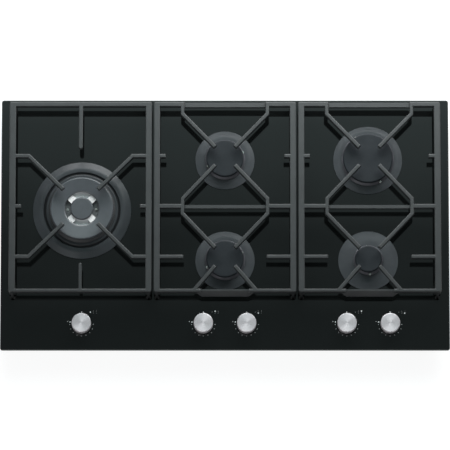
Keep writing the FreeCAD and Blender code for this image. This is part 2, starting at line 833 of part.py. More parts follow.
def make_injectors():
    """Brass jets, screwed into the boss of each cup."""
    jets = []
    for name, burner in BURNERS.items():
        x, y = burner["x"], burner["y"]
        nut = doc.addObject("Part::Prism", name + "_jet_hex")
        nut.Polygon = 6
        bind(nut, x=x, y=y, z=BOSS_TOP, Circumradius="injector_hex_radius",
             Height="injector_hex_height")
        shank = rod(name + "_jet_shank", x, y, f"{BOSS_TOP} - feed_height / 2", "injector_radius",
                    "feed_height / 2")
        bore = rod(name + "_jet_hole", x, y, f"{BOSS_TOP} - feed_height / 2",
                   "injector_bore_radius", "feed_height / 2 + injector_hex_height")
        jets.append(cut(name + "_jet", fuse(name + "_jet_solid", nut, shank), bore))
    group("gas_injectors", jets)


def make_probes():
    """A ceramic spark electrode with a wire tip, and a thermocouple, at each burner."""
    electrodes = []
    thermocouples = []
    for name in BURNERS:
        (_, ex, ey), (_, tx, ty) = probe_places(name)
        support = probe_support(name)
        low = f"({support} - probe_tail)"
        tall = f"({SEAT} + electrode_height)"
        parts = [rod(name + "_ceramic", ex, ey, low, "electrode_radius", f"{tall} - {low}"),
                 rod(name + "_tip", ex, ey, tall, "electrode_tip_radius", "electrode_tip_length"),
                 rod(name + "_electrode_collar", ex, ey, support,
                     "electrode_radius + probe_collar_width", "probe_collar_height")]
        electrodes.append(fuse(name + "_electrode", *parts))
        parts = [rod(name + "_sensor", tx, ty, low, "thermocouple_radius",
                     f"{SEAT} + thermocouple_height - {low}"),
                 rod(name + "_sensor_collar", tx, ty, support,
                     "thermocouple_radius + probe_collar_width", "probe_collar_height")]
        thermocouples.append(fuse(name + "_thermocouple", *parts))
    group("spark_electrodes", electrodes)
    group("thermocouples", thermocouples)


# ---- burners: what lifts off ------------------------------------------------------------------
def crown_foot(cap):
    """The outer lines of a crown from its foot on the dish up to its wall."""
    foot = f"({cap} + crown_foot_overhang)"
    wall = f"({cap} - crown_wall_inset)"
    return [(f"({foot} - crown_foot_width)", SEAT), (foot, SEAT),
            (foot, f"({SEAT} + crown_foot_height)"), (wall, f"({SEAT} + crown_shoulder_height)")]


def crown_underside(cap):
    """The lower lines of a crown: venturi tube, locating lip in the dish, hollow over the screws."""
    lip = f"({cup_radius(cap)} - cup_rim - seat_clearance)"
    tube = "(venturi_radius + venturi_wall)"
    lip_low = f"({SEAT} - crown_lip_depth)"
    return [("venturi_radius", FLOOR), ("venturi_radius", VENTURI_LOW), (tube, VENTURI_LOW),
            (tube, FLOOR_LOW), (f"({lip} - crown_lip_width)", FLOOR_LOW),
            (f"({lip} - crown_lip_width)", lip_low), (lip, lip_low), (lip, FLOOR_LOW),
            (f"({cap} + crown_foot_overhang - crown_foot_width)", FLOOR_LOW)]


def slotted_crown(name, casting, slot_rings):
    """The casting with clear notches round the probes, and its rings of flame slots."""
    notches = [rod(f"{name}_{kind}_notch", dx, dy, SEAT, f"{kind}_radius + probe_notch_clearance",
                   "crown_shoulder_height + crown_floor") for kind, (dx, dy) in probe_offsets(name)]
    notched = cut(name + "_crown_notched", casting, *notches)
    doc.recompute()
    crown = doc.addObject("PartDesign::Body", name + "_burner_crown")
    crown.BaseFeature = notched
    doc.recompute()
    burner = BURNERS[name]
    cap_z = f"({SEAT} + {burner['crown']})"
    for tag, outside, count in slot_rings:
        slot_ring(crown, f"{name}_{tag}_slots", f"({outside} - crown_wall - slot_overrun)",
                  f"({outside} + slot_overrun)", cap_z, "flame_slot_width", "flame_slot_depth", count)
    keep(crown, name + "_burner_crown", x=burner["x"], y=burner["y"])


def make_crown(name):
    """Cast aluminium crown with a ring of flame slots under the cap."""
    burner = BURNERS[name]
    cap = burner["cap"]
    wall = f"({cap} - crown_wall_inset)"
    wall_in = f"({wall} - crown_wall)"
    cap_z = f"({SEAT} + {burner['crown']})"
    outline = crown_foot(cap) + [(wall, cap_z), (wall_in, cap_z), (wall_in, FLOOR)]
    casting = turned(name + "_crown_casting", outline + crown_underside(cap))
    slotted_crown(name, casting, [("flame", wall, burner["slots"])])


def make_wok_crown():
    """One casting: a ring chamber and an inner chamber, joined by a floor and four bridges."""
    burner = BURNERS["wok"]
    cap = burner["cap"]
    cap_z = f"({SEAT} + {burner['crown']})"
    wall = f"({cap} - crown_wall_inset)"
    wall_in = f"({wall} - crown_wall)"
    ring_in = "(wok_ring_hole_radius + crown_wall_inset)"
    ring_wall_in = f"({ring_in} + crown_wall)"
    inner = "(wok_inner_cap_radius - crown_wall_inset)"
    inner_in = f"({inner} - crown_wall)"
    outline = crown_foot(cap) + [
        (wall, cap_z), (wall_in, cap_z), (wall_in, FLOOR), (ring_wall_in, FLOOR),
        (ring_wall_in, cap_z), (ring_in, cap_z), (ring_in, FLOOR), (inner, FLOOR), (inner, cap_z),
        (inner_in, cap_z), (inner_in, FLOOR)]
    casting = turned("wok_crown_casting", outline + crown_underside(cap))
    bridges = []
    passages = []
    reach = f"({ring_in} - {inner} + crown_wall)"
    start = f"({inner} - crown_wall / 2)"
    passage_z = f"({FLOOR} + bridge_passage_radius + bridge_passage_lift)"
    for quarter in range(4):
        angle = value("first_bridge_angle") + 90 * quarter
        dx, dy = polar(start, angle)
        sx, sy = polar("bridge_width / 2", angle - 90)
        bridge = box(f"bridge_{quarter}", f"{dx} + {sx}", f"{dy} + {sy}",
                     f"{FLOOR} - crown_floor / 2", reach, "bridge_width",
                     f"{cap_z} - bridge_drop - {FLOOR} + crown_floor / 2")
        bridges.append(bind(bridge, turn=angle))
        px, py = polar(f"({start} - crown_wall)", angle)
        passage = rod(f"bridge_passage_{quarter}", px, py, passage_z, "bridge_passage_radius",
                      f"{reach} + 2 * crown_wall")
        around = FreeCAD.Rotation(FreeCAD.Vector(0, 0, 1), angle)
        passage.Placement.Rotation = around.multiply(FreeCAD.Rotation(FreeCAD.Vector(0, 1, 0), 90))
        passages.append(passage)
    solid = cut("wok_crown_bored", fuse("wok_crown_bridged", casting, *bridges), *passages)
    slotted_crown("wok", solid, [("ring", wall, "wok_ring_slots"),
                                 ("ring_inner", ring_wall_in, "wok_ring_inner_slots"),
                                 ("inner", inner, "wok_inner_slots")])


def cap_outline(cap, wall_in, cap_z, thickness):
    """A disc cap: bevelled top edge, and below it a rim that sits inside the crown's wall."""
    rim = f"({wall_in} - seat_clearance)"
    rim_in = f"({rim} - cap_rim_width)"
    top = f"({cap_z} + {thickness})"
    return [(0, f"({cap_z} + cap_hollow)"), (rim_in, f"({cap_z} + cap_hollow)"),
            (rim_in, f"({cap_z} - cap_rim_depth)"), (rim, f"({cap_z} - cap_rim_depth)"),
            (rim, cap_z), (cap, cap_z), (cap, f"({top} - cap_bevel)"),
            (f"({cap} - cap_bevel)", top), (0, top)]


def make_cap(name):
    """Enamelled cap on a crown."""
    burner = BURNERS[name]
    cap = burner["cap"]
    cap_z = f"({SEAT} + {burner['crown']})"
    wall_in = f"({cap} - crown_wall_inset - crown_wall)"
    solid = turned(name + "_burner_cap", cap_outline(cap, wall_in, cap_z, "cap_thickness"))
    keep(solid, name + "_burner_cap", x=burner["x"], y=burner["y"])


def make_wok_caps():
    """The inner disc cap and the ring cap, whose face falls towards the middle."""
    burner = BURNERS["wok"]
    cap_z = f"({SEAT} + {burner['crown']})"
    inner = "wok_inner_cap_radius"
    outline = cap_outline(inner, f"({inner} - crown_wall_inset - crown_wall)", cap_z,
                          "wok_inner_cap_thickness")
    keep(turned("wok_inner_cap", outline), "wok_inner_cap", x=burner["x"], y=burner["y"])
    ring = burner["cap"]
    hole = "wok_ring_hole_radius"
    top = f"({cap_z} + wok_ring_thickness)"
    rim = f"({ring} - crown_wall_inset - crown_wall - seat_clearance)"
    outline = [(hole, cap_z), (f"({rim} - cap_rim_width)", cap_z),
               (f"({rim} - cap_rim_width)", f"({cap_z} - cap_rim_depth)"),
               (rim, f"({cap_z} - cap_rim_depth)"), (rim, cap_z), (ring, cap_z),
               (ring, f"({top} - cap_bevel)"), (f"({ring} - cap_bevel)", top),
               (f"({hole} + cap_bevel)", f"({cap_z} + wok_ring_inner_thickness)"),
               (hole, f"({cap_z} + wok_ring_inner_thickness - cap_bevel / 2)")]
    keep(turned("wok_ring_cap", outline), "wok_ring_cap", x=burner["x"], y=burner["y"])


# ---- gas rail, pipes and entry ----------------------------------------------------------------
def rounded_path(points, radius):
    """A wire through the points with each inner corner rounded to the radius."""
    spots = [FreeCAD.Vector(*point) for point in points]
    edges = []
    last = spots[0]
    for before, corner, after in zip(spots, spots[1:], spots[2:]):
        back = (before - corner).normalize()
        ahead = (after - corner).normalize()
        half = back.getAngle(ahead) / 2
        step = radius / math.tan(half)
        bisector = (back + ahead).normalize()
        middle = corner + bisector * (radius / math.sin(half) - radius)
        start = corner + back * step
        end = corner + ahead * step
        edges.append(Part.LineSegment(last, start).toShape())
        edges.append(Part.Arc(start, middle, end).toShape())
        last = end
    edges.append(Part.LineSegment(last, spots[-1]).toShape())
    return Part.Wire(edges)


def tube(points, radius, wall, bend_radius):
    """A bent tube: its outer skin with its bore taken out."""
    path = rounded_path(points, bend_radius)
    heading = FreeCAD.Vector(*points[1]) - FreeCAD.Vector(*points[0])
    solids = []
    for size in (radius, radius - wall):
        circle = Part.Circle(FreeCAD.Vector(*points[0]), heading, size).toShape()
        solids.append(path.makePipeShell([Part.Wire([circle])], True, False))
    return solids[0].cut(solids[1])


def make_burner_pipes():
    """Aluminium pipes from the taps to the cups, all in one level plane."""
    start_y = value(f"{RAIL_FRONT} + outlet_reach - socket_depth")
    z = value("pipe_height")
    pipes = []
    for name, burner in BURNERS.items():
        knob_x = value(burner["knob_x"])
        end_x, end_y = (value(formula) for formula in feed_end(name))
        jog = value("pipe_jog")
        depth = value("socket_depth")
        points = [(knob_x, start_y, z)]
        if burner["fed_from"] == "left":
            lane = end_x - value("pipe_lane_margin")
            points += [(knob_x, start_y + jog, z), (lane, start_y + 2 * jog, z), (lane, end_y, z),
                       (end_x + depth, end_y, z)]
        elif abs(knob_x - end_x) > value("pipe_radius"):
            points += [(knob_x, start_y + jog, z), (end_x, start_y + 2 * jog, z),
                       (end_x, end_y + depth, z)]
        else:
            points += [(end_x, end_y + depth, z)]
        pipe = doc.addObject("Part::Feature", name + "_pipe")
        pipe.Shape = tube(points, value("pipe_radius"), value("pipe_wall"),
                          value("pipe_bend_radius"))
        pipes.append(pipe)
    group("burner_pipes", pipes)


def make_gas_rail():
    """Square steel rail along the taps, with the feed tube brazed into its right end."""
    low = "(rail_height - rail_size / 2)"
    outer = box("rail_outer", "rail_left_end", RAIL_FRONT, low, "rail_right_end - rail_left_end",
                "rail_size", "rail_size")
    inner = box("rail_inner", "rail_left_end + rail_wall", f"{RAIL_FRONT} + rail_wall",
                f"{low} + rail_wall", "rail_right_end - rail_left_end - 2 * rail_wall",
                "rail_size - 2 * rail_wall", "rail_size - 2 * rail_wall")
    ports = [lying_rod(name + "_rail_port", burner["knob_x"], RAIL_FRONT, "rail_height",
                       "gas_port_radius", "rail_wall", "Y") for name, burner in BURNERS.items()]
    ports.append(lying_rod("rail_entry", "rail_right_end - rail_wall", "rail_y", "rail_height",
                           "feed_pipe_radius - feed_pipe_wall", "rail_wall", "X"))
    rail = cut("rail", outer, inner, *ports)
    elbow_z = value(ELBOW_Z)
    rail_z = value("rail_height")
    inlet_x = value("inlet_x")
    elbow_face = value("inlet_y - elbow_size / 2 - outlet_reach + socket_depth")
    drop_start = elbow_face - value("feed_level_run")
    drop_end = drop_start - value("feed_slope_run")
    points = [(inlet_x, elbow_face, elbow_z), (inlet_x, drop_start, elbow_z),
              (inlet_x, drop_end, rail_z), (inlet_x, value("rail_y"), rail_z),
              (value("rail_right_end"), value("rail_y"), rail_z)]
    feed = doc.addObject("Part::Feature", "feed_tube")
    feed.Shape = tube(points, value("feed_pipe_radius"), value("feed_pipe_wall"),
                      value("feed_pipe_bend_radius"))
    keep(fuse("rail_with_feed", rail, feed), "gas_rail")


def make_rail_brackets():
    """Three bent brackets that stand on the tray floor and carry the rail."""
    brackets = []
    for step in (-1, 0, 1):
        tag = f"bracket_{step + 1}"
        x = f"(bracket_middle_x + {step} * bracket_spacing)"
        rail_low = "(rail_height - rail_size / 2)"
        back = "(rail_y + rail_size / 2)"
        foot = box(tag + "_foot", f"{x} - bracket_width / 2", RAIL_FRONT, "tray_sheet",
                   "bracket_width", "bracket_foot_length", "bracket_sheet")
        block = box(tag + "_block", f"{x} - bracket_width / 2", RAIL_FRONT, "tray_sheet",
                    "bracket_width", "rail_size", f"{rail_low} - tray_sheet")
        lug = box(tag + "_lug", f"{x} - bracket_width / 2", back, "tray_sheet", "bracket_width",
                  "bracket_sheet", "rail_height")
        brackets.append(fuse(tag, foot, block, lug))
    group("rail_brackets", brackets)


def make_inlet_elbow():
    """Brass elbow: half-inch threaded end down in the recess, tube socket to the front."""
    base = "(recess_height + tray_sheet)"
    thread_top = "(recess_height - lock_nut_height)"
    front = "(inlet_y - elbow_size / 2 - outlet_reach)"
    block = rounded_box("elbow_block", "inlet_x", "inlet_y", base, "elbow_size", "elbow_size",
                        "elbow_height", "elbow_corner_radius")
    neck = rod("elbow_neck", "inlet_x", "inlet_y", thread_top, "elbow_neck_radius",
               f"{base} - {thread_top} + tray_sheet")
    lock_nut = rod("elbow_lock_nut", "inlet_x", "inlet_y", thread_top, "lock_nut_radius",
                   "lock_nut_height")
    thread = rod("elbow_thread", "inlet_x", "inlet_y", f"{thread_top} - thread_length",
                 "thread_radius", "thread_length")
    nozzle = lying_rod("elbow_nozzle", "inlet_x", front, ELBOW_Z, "feed_pipe_radius + elbow_wall",
                       "outlet_reach + elbow_wall", "Y")
    socket = lying_rod("elbow_socket", "inlet_x", front, ELBOW_Z,
                       "feed_pipe_radius + fit_clearance", "socket_depth", "Y")
    across = lying_rod("elbow_across", "inlet_x", front, ELBOW_Z,
                       "feed_pipe_radius - feed_pipe_wall", "outlet_reach + elbow_size / 2", "Y")
    down = rod("elbow_down", "inlet_x", "inlet_y", f"{thread_top} - thread_length",
               "elbow_bore_radius", f"{ELBOW_Z} - {thread_top} + thread_length")
    solid = fuse("inlet_elbow_solid", block, neck, lock_nut, thread, nozzle)
    keep(cut("inlet_elbow_cut", solid, socket, across, down), "gas_inlet_elbow")


# ---- taps, spindles and knobs -----------------------------------------------------------------
def make_taps():
    """Five tap bodies on the rail, with a taper bore for the plug and an outlet to the back."""
    bodies = []
    switches = []
    for name, burner in BURNERS.items():
        x = burner["knob_x"]
        front = "(knob_y - tap_size / 2)"
        block = box(name + "_tap_block", f"{x} - tap_size / 2", front, "tap_bottom", "tap_size",
                    f"{RAIL_FRONT} - {front}", "tap_top - tap_bottom")
        neck = rod(name + "_tap_neck", x, "knob_y", "tap_top", "tap_neck_radius", "tap_neck_height")
        outlet = lying_rod(name + "_tap_outlet", x, f"{RAIL_FRONT} - outlet_root", "pipe_height",
                           "pipe_radius + socket_wall", "outlet_reach + outlet_root", "Y")
        taper = doc.addObject("Part::Cone", name + "_tap_taper")
        bind(taper, x=x, y="knob_y", z=f"{PLUG_TOP} - plug_height",
             Radius1="plug_bottom_radius + fit_clearance", Radius2="plug_top_radius + fit_clearance",
             Height="plug_height")
        bore = rod(name + "_tap_bore", x, "knob_y", PLUG_TOP, "spindle_radius + fit_clearance",
                   "tap_top + tap_neck_height - " + PLUG_TOP)
        socket = lying_rod(name + "_tap_socket", x, f"{RAIL_FRONT} + outlet_reach - socket_depth",
                           "pipe_height", "pipe_radius + fit_clearance", "socket_depth", "Y")
        way_out = lying_rod(name + "_tap_way_out", x, "knob_y", "pipe_height", "gas_port_radius",
                            f"{RAIL_FRONT} + outlet_reach - knob_y", "Y")
        way_in = lying_rod(name + "_tap_way_in", x, "knob_y", "rail_height", "gas_port_radius",
                           f"{RAIL_FRONT} - knob_y", "Y")
        bodies.append(cut(name + "_tap", fuse(name + "_tap_solid", block, neck, outlet), taper, bore,
                          socket, way_out, way_in))
        switches.append(box(name + "_switch", f"{x} - switch_width / 2",
                            "knob_y + tap_neck_radius + switch_gap", "tap_top", "switch_width",
                            "switch_depth", "switch_height"))
    group("gas_taps", bodies)
    group("ignition_switches", switches)


def make_tap_plug(name, knob_x):
    """Taper plug that turns in the tap; its bore has a flat that the spindle drives."""
    low = f"({PLUG_TOP} - plug_height + fit_clearance)"
    taper = doc.addObject("Part::Cone", name + "_plug_taper")
    bind(taper, x=knob_x, y="knob_y", z=low, Radius1="plug_bottom_radius",
         Radius2="plug_top_radius", Height="plug_height - 2 * fit_clearance")
    bore = d_rod(name + "_plug_bore", knob_x, "knob_y", f"({PLUG_TOP} - plug_bore_depth)", PLUG_TOP,
                 "(spindle_radius + fit_clearance)", "(spindle_flat + fit_clearance)")
    port = lying_rod(name + "_plug_port", f"{knob_x} - plug_top_radius", "knob_y", "rail_height",
                     "plug_port_radius", "2 * plug_top_radius", "X")
    keep(cut(name + "_plug_cut", taper, bore, port), name + "_tap_plug")


def make_knob(name, knob_x):
    """Hollow knob with a hub on the spindle's flat."""
    hub_low = f"({KNOB_LOW} + knob_hub_recess)"
    ceiling = f"({KNOB_TOP} - knob_face)"
    skirt_in = "(knob_radius - knob_wall)"
    outline = [(0, hub_low), ("knob_hub_radius", hub_low), ("knob_hub_radius", ceiling),
               (skirt_in, ceiling), (skirt_in, KNOB_LOW), ("knob_radius", KNOB_LOW),
               ("knob_radius", f"({KNOB_TOP} - knob_bevel)"),
               ("(knob_radius - knob_bevel)", KNOB_TOP), (0, KNOB_TOP)]
    shell = bind(turned(name + "_knob_shell", outline), x=knob_x, y="knob_y")
    bore = d_rod(name + "_knob_bore", knob_x, "knob_y", hub_low, f"({SPINDLE_TOP} + fit_clearance)",
                 "(spindle_radius + fit_clearance)", "(spindle_flat + fit_clearance)")
    keep(cut(name + "_knob_cut", shell, bore), name + "_knob")


def make_controls():
    """Plug, spindle, knob and shaft seal of each tap."""
    seals = []
    for name, burner in BURNERS.items():
        x = burner["knob_x"]
        make_tap_plug(name, x)
        spindle = d_rod(name + "_spindle_bar", x, "knob_y", f"({PLUG_TOP} - spindle_engagement)",
                        SPINDLE_TOP, "spindle_radius", "spindle_flat")
        keep(spindle, name + "_spindle")
        make_knob(name, x)
        sleeve = rod(name + "_seal_sleeve", x, "knob_y", UNDERSIDE, "knob_hole_radius - fit_clearance",
                     "glass_thickness")
        lip = rod(name + "_seal_lip", x, "knob_y", TOP, "shaft_seal_lip_radius",
                  "shaft_seal_lip_height")
        bore = rod(name + "_seal_bore", x, "knob_y", UNDERSIDE, "spindle_radius + seat_clearance",
                   "glass_thickness + shaft_seal_lip_height")
        seals.append(cut(name + "_seal", fuse(name + "_seal_solid", sleeve, lip), bore))
    group("shaft_seals", seals)


# ---- ignition ---------------------------------------------------------------------------------
def make_spark_generator():
    """Moulded box on the tray floor with five push-on terminals."""
    case = rounded_box("generator_case", "generator_x", "generator_y", "tray_sheet",
                       "generator_length", "generator_width", "generator_height",
                       "generator_corner_radius")
    tabs = []
    for i in range(-2, 3):
        tabs.append(box(f"terminal_{i + 2}", f"generator_x + {i} * terminal_pitch - terminal_width / 2",
                        "generator_y - generator_width / 2 - terminal_length",
                        "tray_sheet + generator_height / 2", "terminal_width",
                        "terminal_length + terminal_sheet", "terminal_sheet"))
    keep(fuse("spark_generator_solid", case, *tabs), "spark_generator")


def make_lead_gland():
    """Bush in the tray's rear wall for the mains lead, with its nut inside."""
    wall = "(tray_length / 2)"
    body = lying_rod("gland_body", "generator_x", f"{wall} - tray_sheet - gland_nut", "gland_height",
                     "gland_radius", "gland_nut + tray_sheet + gland_flange", "Y")
    flange = lying_rod("gland_flange_disc", "generator_x", wall, "gland_height",
                       "gland_flange_radius", "gland_flange", "Y")
    nut = lying_rod("gland_nut_disc", "generator_x", f"{wall} - tray_sheet - gland_nut",
                    "gland_height", "gland_flange_radius", "gland_nut", "Y")
    bore = lying_rod("gland_bore", "generator_x", f"{wall} - tray_sheet - gland_nut", "gland_height",
                     "gland_bore_radius", "gland_nut + tray_sheet + gland_flange", "Y")
    keep(cut("gland_cut", fuse("gland_solid", body, flange, nut), bore), "mains_lead_gland")


# ---- pan supports -----------------------------------------------------------------------------
def bar(name, start, end, width, top=GRATE_TOP, height="grate_bar_height"):
    """A straight bar of the casting between two points, in plan, under the given top."""
    (x1, y1), (x2, y2) = start, end
    run, rise = f"(({x2}) - ({x1}))", f"(({y2}) - ({y1}))"
    length = f"sqrt({run} * {run} + {rise} * {rise})"
    solid = doc.addObject("Part::Box", name)
    return bind(solid, Length=length, Width=width, Height=height, turn=f"atan2({rise}; {run})",
                x=f"{x1} + ({width}) / 2 * {rise} / {length}",
                y=f"{y1} - ({width}) / 2 * {run} / {length}", z=f"{top} - ({height})")


def bent_finger(name, points, width, round_tip=False):
    """Bars through the points, with a round joint at each bend."""
    parts = [bar(f"{name}_{i}", a, b, width) for i, (a, b) in enumerate(zip(points, points[1:]))]
    joints = points[1:] if round_tip else points[1:-1]
    for i, (x, y) in enumerate(joints):
        parts.append(rod(f"{name}_bend_{i}", x, y, GRATE_LOW, f"({width}) / 2", "grate_bar_height"))
    return parts


def grate_frame(name, dips):
    """Rails and corner legs, whose toes stand out past the rails, of one pan support; dips lowers
    the middle of the back rail and leaves a gap for an apron in the front rail."""
    half = "grate_width / 2"
    inner = "(grate_width / 2 - side_rail)"
    parts = []
    for side in (-1, 1):
        tag = f"{name}_{'left' if side < 0 else 'right'}"
        x = f"{side} * ({half} - side_rail / 2)"
        parts.append(bar(tag + "_rail", (x, "grate_front"), (x, "grate_back"), "side_rail"))
        for end, edge in ((-1, "grate_front"), (1, "grate_back")):
            leg = doc.addObject("Part::Wedge", f"{tag}_leg_{'front' if end < 0 else 'back'}")
            leg.Placement.Rotation = FreeCAD.Rotation(FreeCAD.Vector(1, 0, 0), 90)
            near = "0" if end < 0 else "-leg_length"
            far = "leg_length" if end < 0 else "0"
            wide_near = "0" if end < 0 else "-(leg_length + leg_gusset)"
            wide_far = "(leg_length + leg_gusset)" if end < 0 else "0"
            bind(leg, x=f"{x} - side_rail / 2", y=edge, z=f"{TOP} + foot_height", Xmin=0,
                 Xmax="side_rail", X2min=0, X2max="side_rail", Ymin=0,
                 Ymax=f"{GRATE_LOW} - {TOP} - foot_height", Zmin=f"-({far})", Zmax=f"-({near})",
                 Z2min=f"-({wide_far})", Z2max=f"-({wide_near})")
            toe = doc.addObject("Part::Wedge", f"{tag}_toe_{'front' if end < 0 else 'back'}")
            toe.Placement.Rotation = FreeCAD.Rotation(FreeCAD.Vector(1, 0, 0), 90)
            low = ("-leg_length / 2", "leg_toe") if end < 0 else ("-leg_toe", "leg_length / 2")
            high = ("-leg_length / 2", "0") if end < 0 else ("0", "leg_length / 2")
            bind(toe, x=f"{x} - side_rail / 2 + grate_corner_radius", y=edge,
                 z=f"{TOP} + foot_height", Xmin=0, Xmax="side_rail - 2 * grate_corner_radius",
                 X2min=0, X2max="side_rail - 2 * grate_corner_radius", Ymin=0,
                 Ymax=f"{GRATE_LOW} - {TOP} - foot_height", Zmin=low[0], Zmax=low[1],
                 Z2min=high[0], Z2max=high[1])
            parts += [leg, toe]
    rails = (("back", "(grate_back - back_rail / 2)", "back_rail", "grate_bar_height",
              "(finger_x - finger_width / 2)"),
             ("front", "(grate_front + front_rail / 2)", "front_rail", "front_rail_height",
              "apron_edge_half"))
    for end, y, width, height, dip_half in rails:
        tag = f"{name}_{end}"
        if not dips:
            parts.append(bar(tag + "_rail", (f"-{inner}", y), (inner, y), width, height=height))
            continue
        parts.append(bar(tag + "_rail_left", (f"-{inner}", y), (f"-{dip_half}", y), width,
                         height=height))
        parts.append(bar(tag + "_rail_right", (dip_half, y), (inner, y), width, height=height))
        if end == "back":
            parts.append(bar(tag + "_rail_dip", (f"-{dip_half}", y), (dip_half, y), width,
                             f"({GRATE_TOP} - lowered_bar_drop)", "lowered_bar_height"))
    return parts


def finish_grate(name, parts, x):
    """Fuses a pan support, rounds its corners and its top edges and puts it in its place."""
    casting = fuse(name + "_casting", *parts)
    doc.recompute()
    half = value("grate_width / 2")
    ends = (value("grate_front"), value("grate_back"))

    def outer_corner(edge):
        spot = edge.BoundBox.Center
        at_side = abs(abs(spot.x) - half) < TOLERANCE
        return upright(edge) and at_side and min(abs(spot.y - end) for end in ends) < TOLERANCE

    cornered = eased("Fillet", name + "_cornered", casting, "grate_corner_radius", outer_corner)
    rounded = eased("Fillet", name + "_rounded", cornered, "grate_edge_radius", at_height(GRATE_TOP))
    keep(rounded, name, x=x)
    feet = []
    for side in (-1, 1):
        for end, edge in ((1, "grate_front"), (-1, "grate_back")):
            feet.append(rod(f"{name}_foot_{side + 1}_{end + 1}",
                            f"{x} + {side} * (grate_width / 2 - side_rail / 2)",
                            f"{edge} + {end} * (foot_radius + foot_margin - leg_toe)", TOP,
                            "foot_radius", "foot_height"))
    group(name + "_feet", feet)


def make_wok_grate():
    """Pan support over the wok burner: four bent fingers, two straight ones and two stubs."""
    name = "left_grate"
    parts = grate_frame(name, dips=False)
    inner = "(grate_width / 2 - side_rail)"
    for side in (-1, 1):
        for end, y in ((1, "rear_burner_y"), (-1, "front_burner_y")):
            points = [(f"{side} * {inner}", y), (f"{side} * wok_bend_x", y),
                      (f"{side} * wok_tip_offset", f"wok_burner_y + {end} * wok_tip_offset")]
            parts += bent_finger(f"{name}_finger_{side + 1}_{end + 1}", points, "finger_width")
        parts.append(bar(f"{name}_stub_{side + 1}", (f"{side} * {inner}", "wok_burner_y"),
                         (f"{side} * ({inner} - stub_length)", "wok_burner_y"), "finger_width"))
    parts += bent_finger(name + "_back_finger", [(0, "(grate_back - back_rail)"),
                                                 (0, "wok_back_finger_tip")],
                         "long_finger_width", round_tip=True)
    parts += bent_finger(name + "_front_finger", [(0, "(grate_front + front_rail)"),
                                                  (0, "wok_front_finger_tip")],
                         "short_finger_width", round_tip=True)
    finish_grate(name, parts, "(-grate_pitch)")


def make_pair_grate(name, x):
    """Pan support over a rear and a front burner: crossbar, eight fingers, four side fingers and
    a sloping apron in the middle of the front rail."""
    parts = grate_frame(name, dips=True)
    inner = "(grate_width / 2 - side_rail)"
    lowered = f"({GRATE_TOP} - lowered_bar_drop)"
    parts.append(bar(name + "_crossbar_dip", ("-finger_x", "crossbar_y"), ("finger_x", "crossbar_y"),
                     "lowered_bar_width", lowered, "lowered_bar_height"))
    for side in (-1, 1):
        tag = f"{name}_{'left' if side < 0 else 'right'}"
        parts.append(bar(tag + "_crossbar", (f"{side} * {inner}", "crossbar_y"),
                         (f"{side} * finger_x", "crossbar_y"), "crossbar_width"))
        root, tip = f"{side} * finger_x", f"{side} * tip_x"
        parts += bent_finger(tag + "_rear_finger", [
            (root, "(grate_back - back_rail / 2)"), (root, "(grate_back - back_rail - finger_straight)"),
            (tip, "(rear_burner_y + tip_offset)")], "finger_width")
        parts += bent_finger(tag + "_middle_finger", [
            (tip, "(rear_burner_y - tip_offset)"), (root, "(crossbar_y + finger_straight)"),
            (root, "(crossbar_y - finger_straight)"), (tip, "(front_burner_y + tip_offset)")],
            "finger_width")
        parts += bent_finger(tag + "_front_finger", [
            (f"{side} * front_finger_root_x", "(grate_front + front_rail / 2)"),
            (tip, "(front_burner_y - tip_offset)")], "finger_width")
        parts.append(bar(tag + "_stub", (f"{side} * {inner}", "rear_burner_y"),
                         (f"{side} * ({inner} - stub_length)", "rear_burner_y"), "finger_width"))
        parts.append(bar(tag + "_side_finger", (f"{side} * {inner}", "front_burner_y"),
                         (f"{side} * ({inner} - side_finger_length)", "front_burner_y"),
                         "finger_width"))
    apron = doc.addObject("Part::Wedge", name + "_apron")
    apron.Placement.Rotation = FreeCAD.Rotation(FreeCAD.Vector(1, 0, 0), 90)
    bind(apron, y="grate_front", z=f"{lowered} - apron_height", Xmin="-apron_edge_half",
         Xmax="apron_edge_half", X2min="-apron_root_half", X2max="apron_root_half", Ymin=0,
         Ymax="apron_height", Zmin="-front_rail", Zmax="apron_reach", Z2min="-front_rail",
         Z2max="apron_ledge - front_rail")
    parts.append(apron)
    finish_grate(name, parts, x)


# ---- the whole cooktop ------------------------------------------------------------------------
make_glass_top()
make_bottom_tray()
make_worktop_seal()
make_clamps()
make_cups()
for burner_name in BURNERS:
    make_dish(burner_name)
    if burner_name != "wok":
        make_crown(burner_name)
        make_cap(burner_name)
make_wok_crown()
make_wok_caps()
make_gaskets()
make_dish_screws()
make_injectors()
make_probes()
make_gas_rail()
make_rail_brackets()
make_inlet_elbow()
make_burner_pipes()
make_taps()
make_controls()
make_spark_generator()
make_lead_gland()
make_wok_grate()
make_pair_grate("middle_grate", "0")
make_pair_grate("right_grate", "grate_pitch")
doc.recompute()

for thing in doc.Objects:
    if {"Invalid", "Error"} & set(thing.State):
        raise ValueError(f"{thing.Label} failed: {thing.State}")
for thing in pieces:
    if thing.Shape.isNull() or not thing.Shape.isValid():
        raise ValueError(f"{thing.Label} has no valid shape")

os.makedirs("parts", exist_ok=True)
for thing in pieces:
    thing.Shape.exportStep(f"parts/{thing.Label}.step")
print(len(pieces), "sub-parts,", sum(len(thing.Shape.Solids) for thing in pieces), "solids")
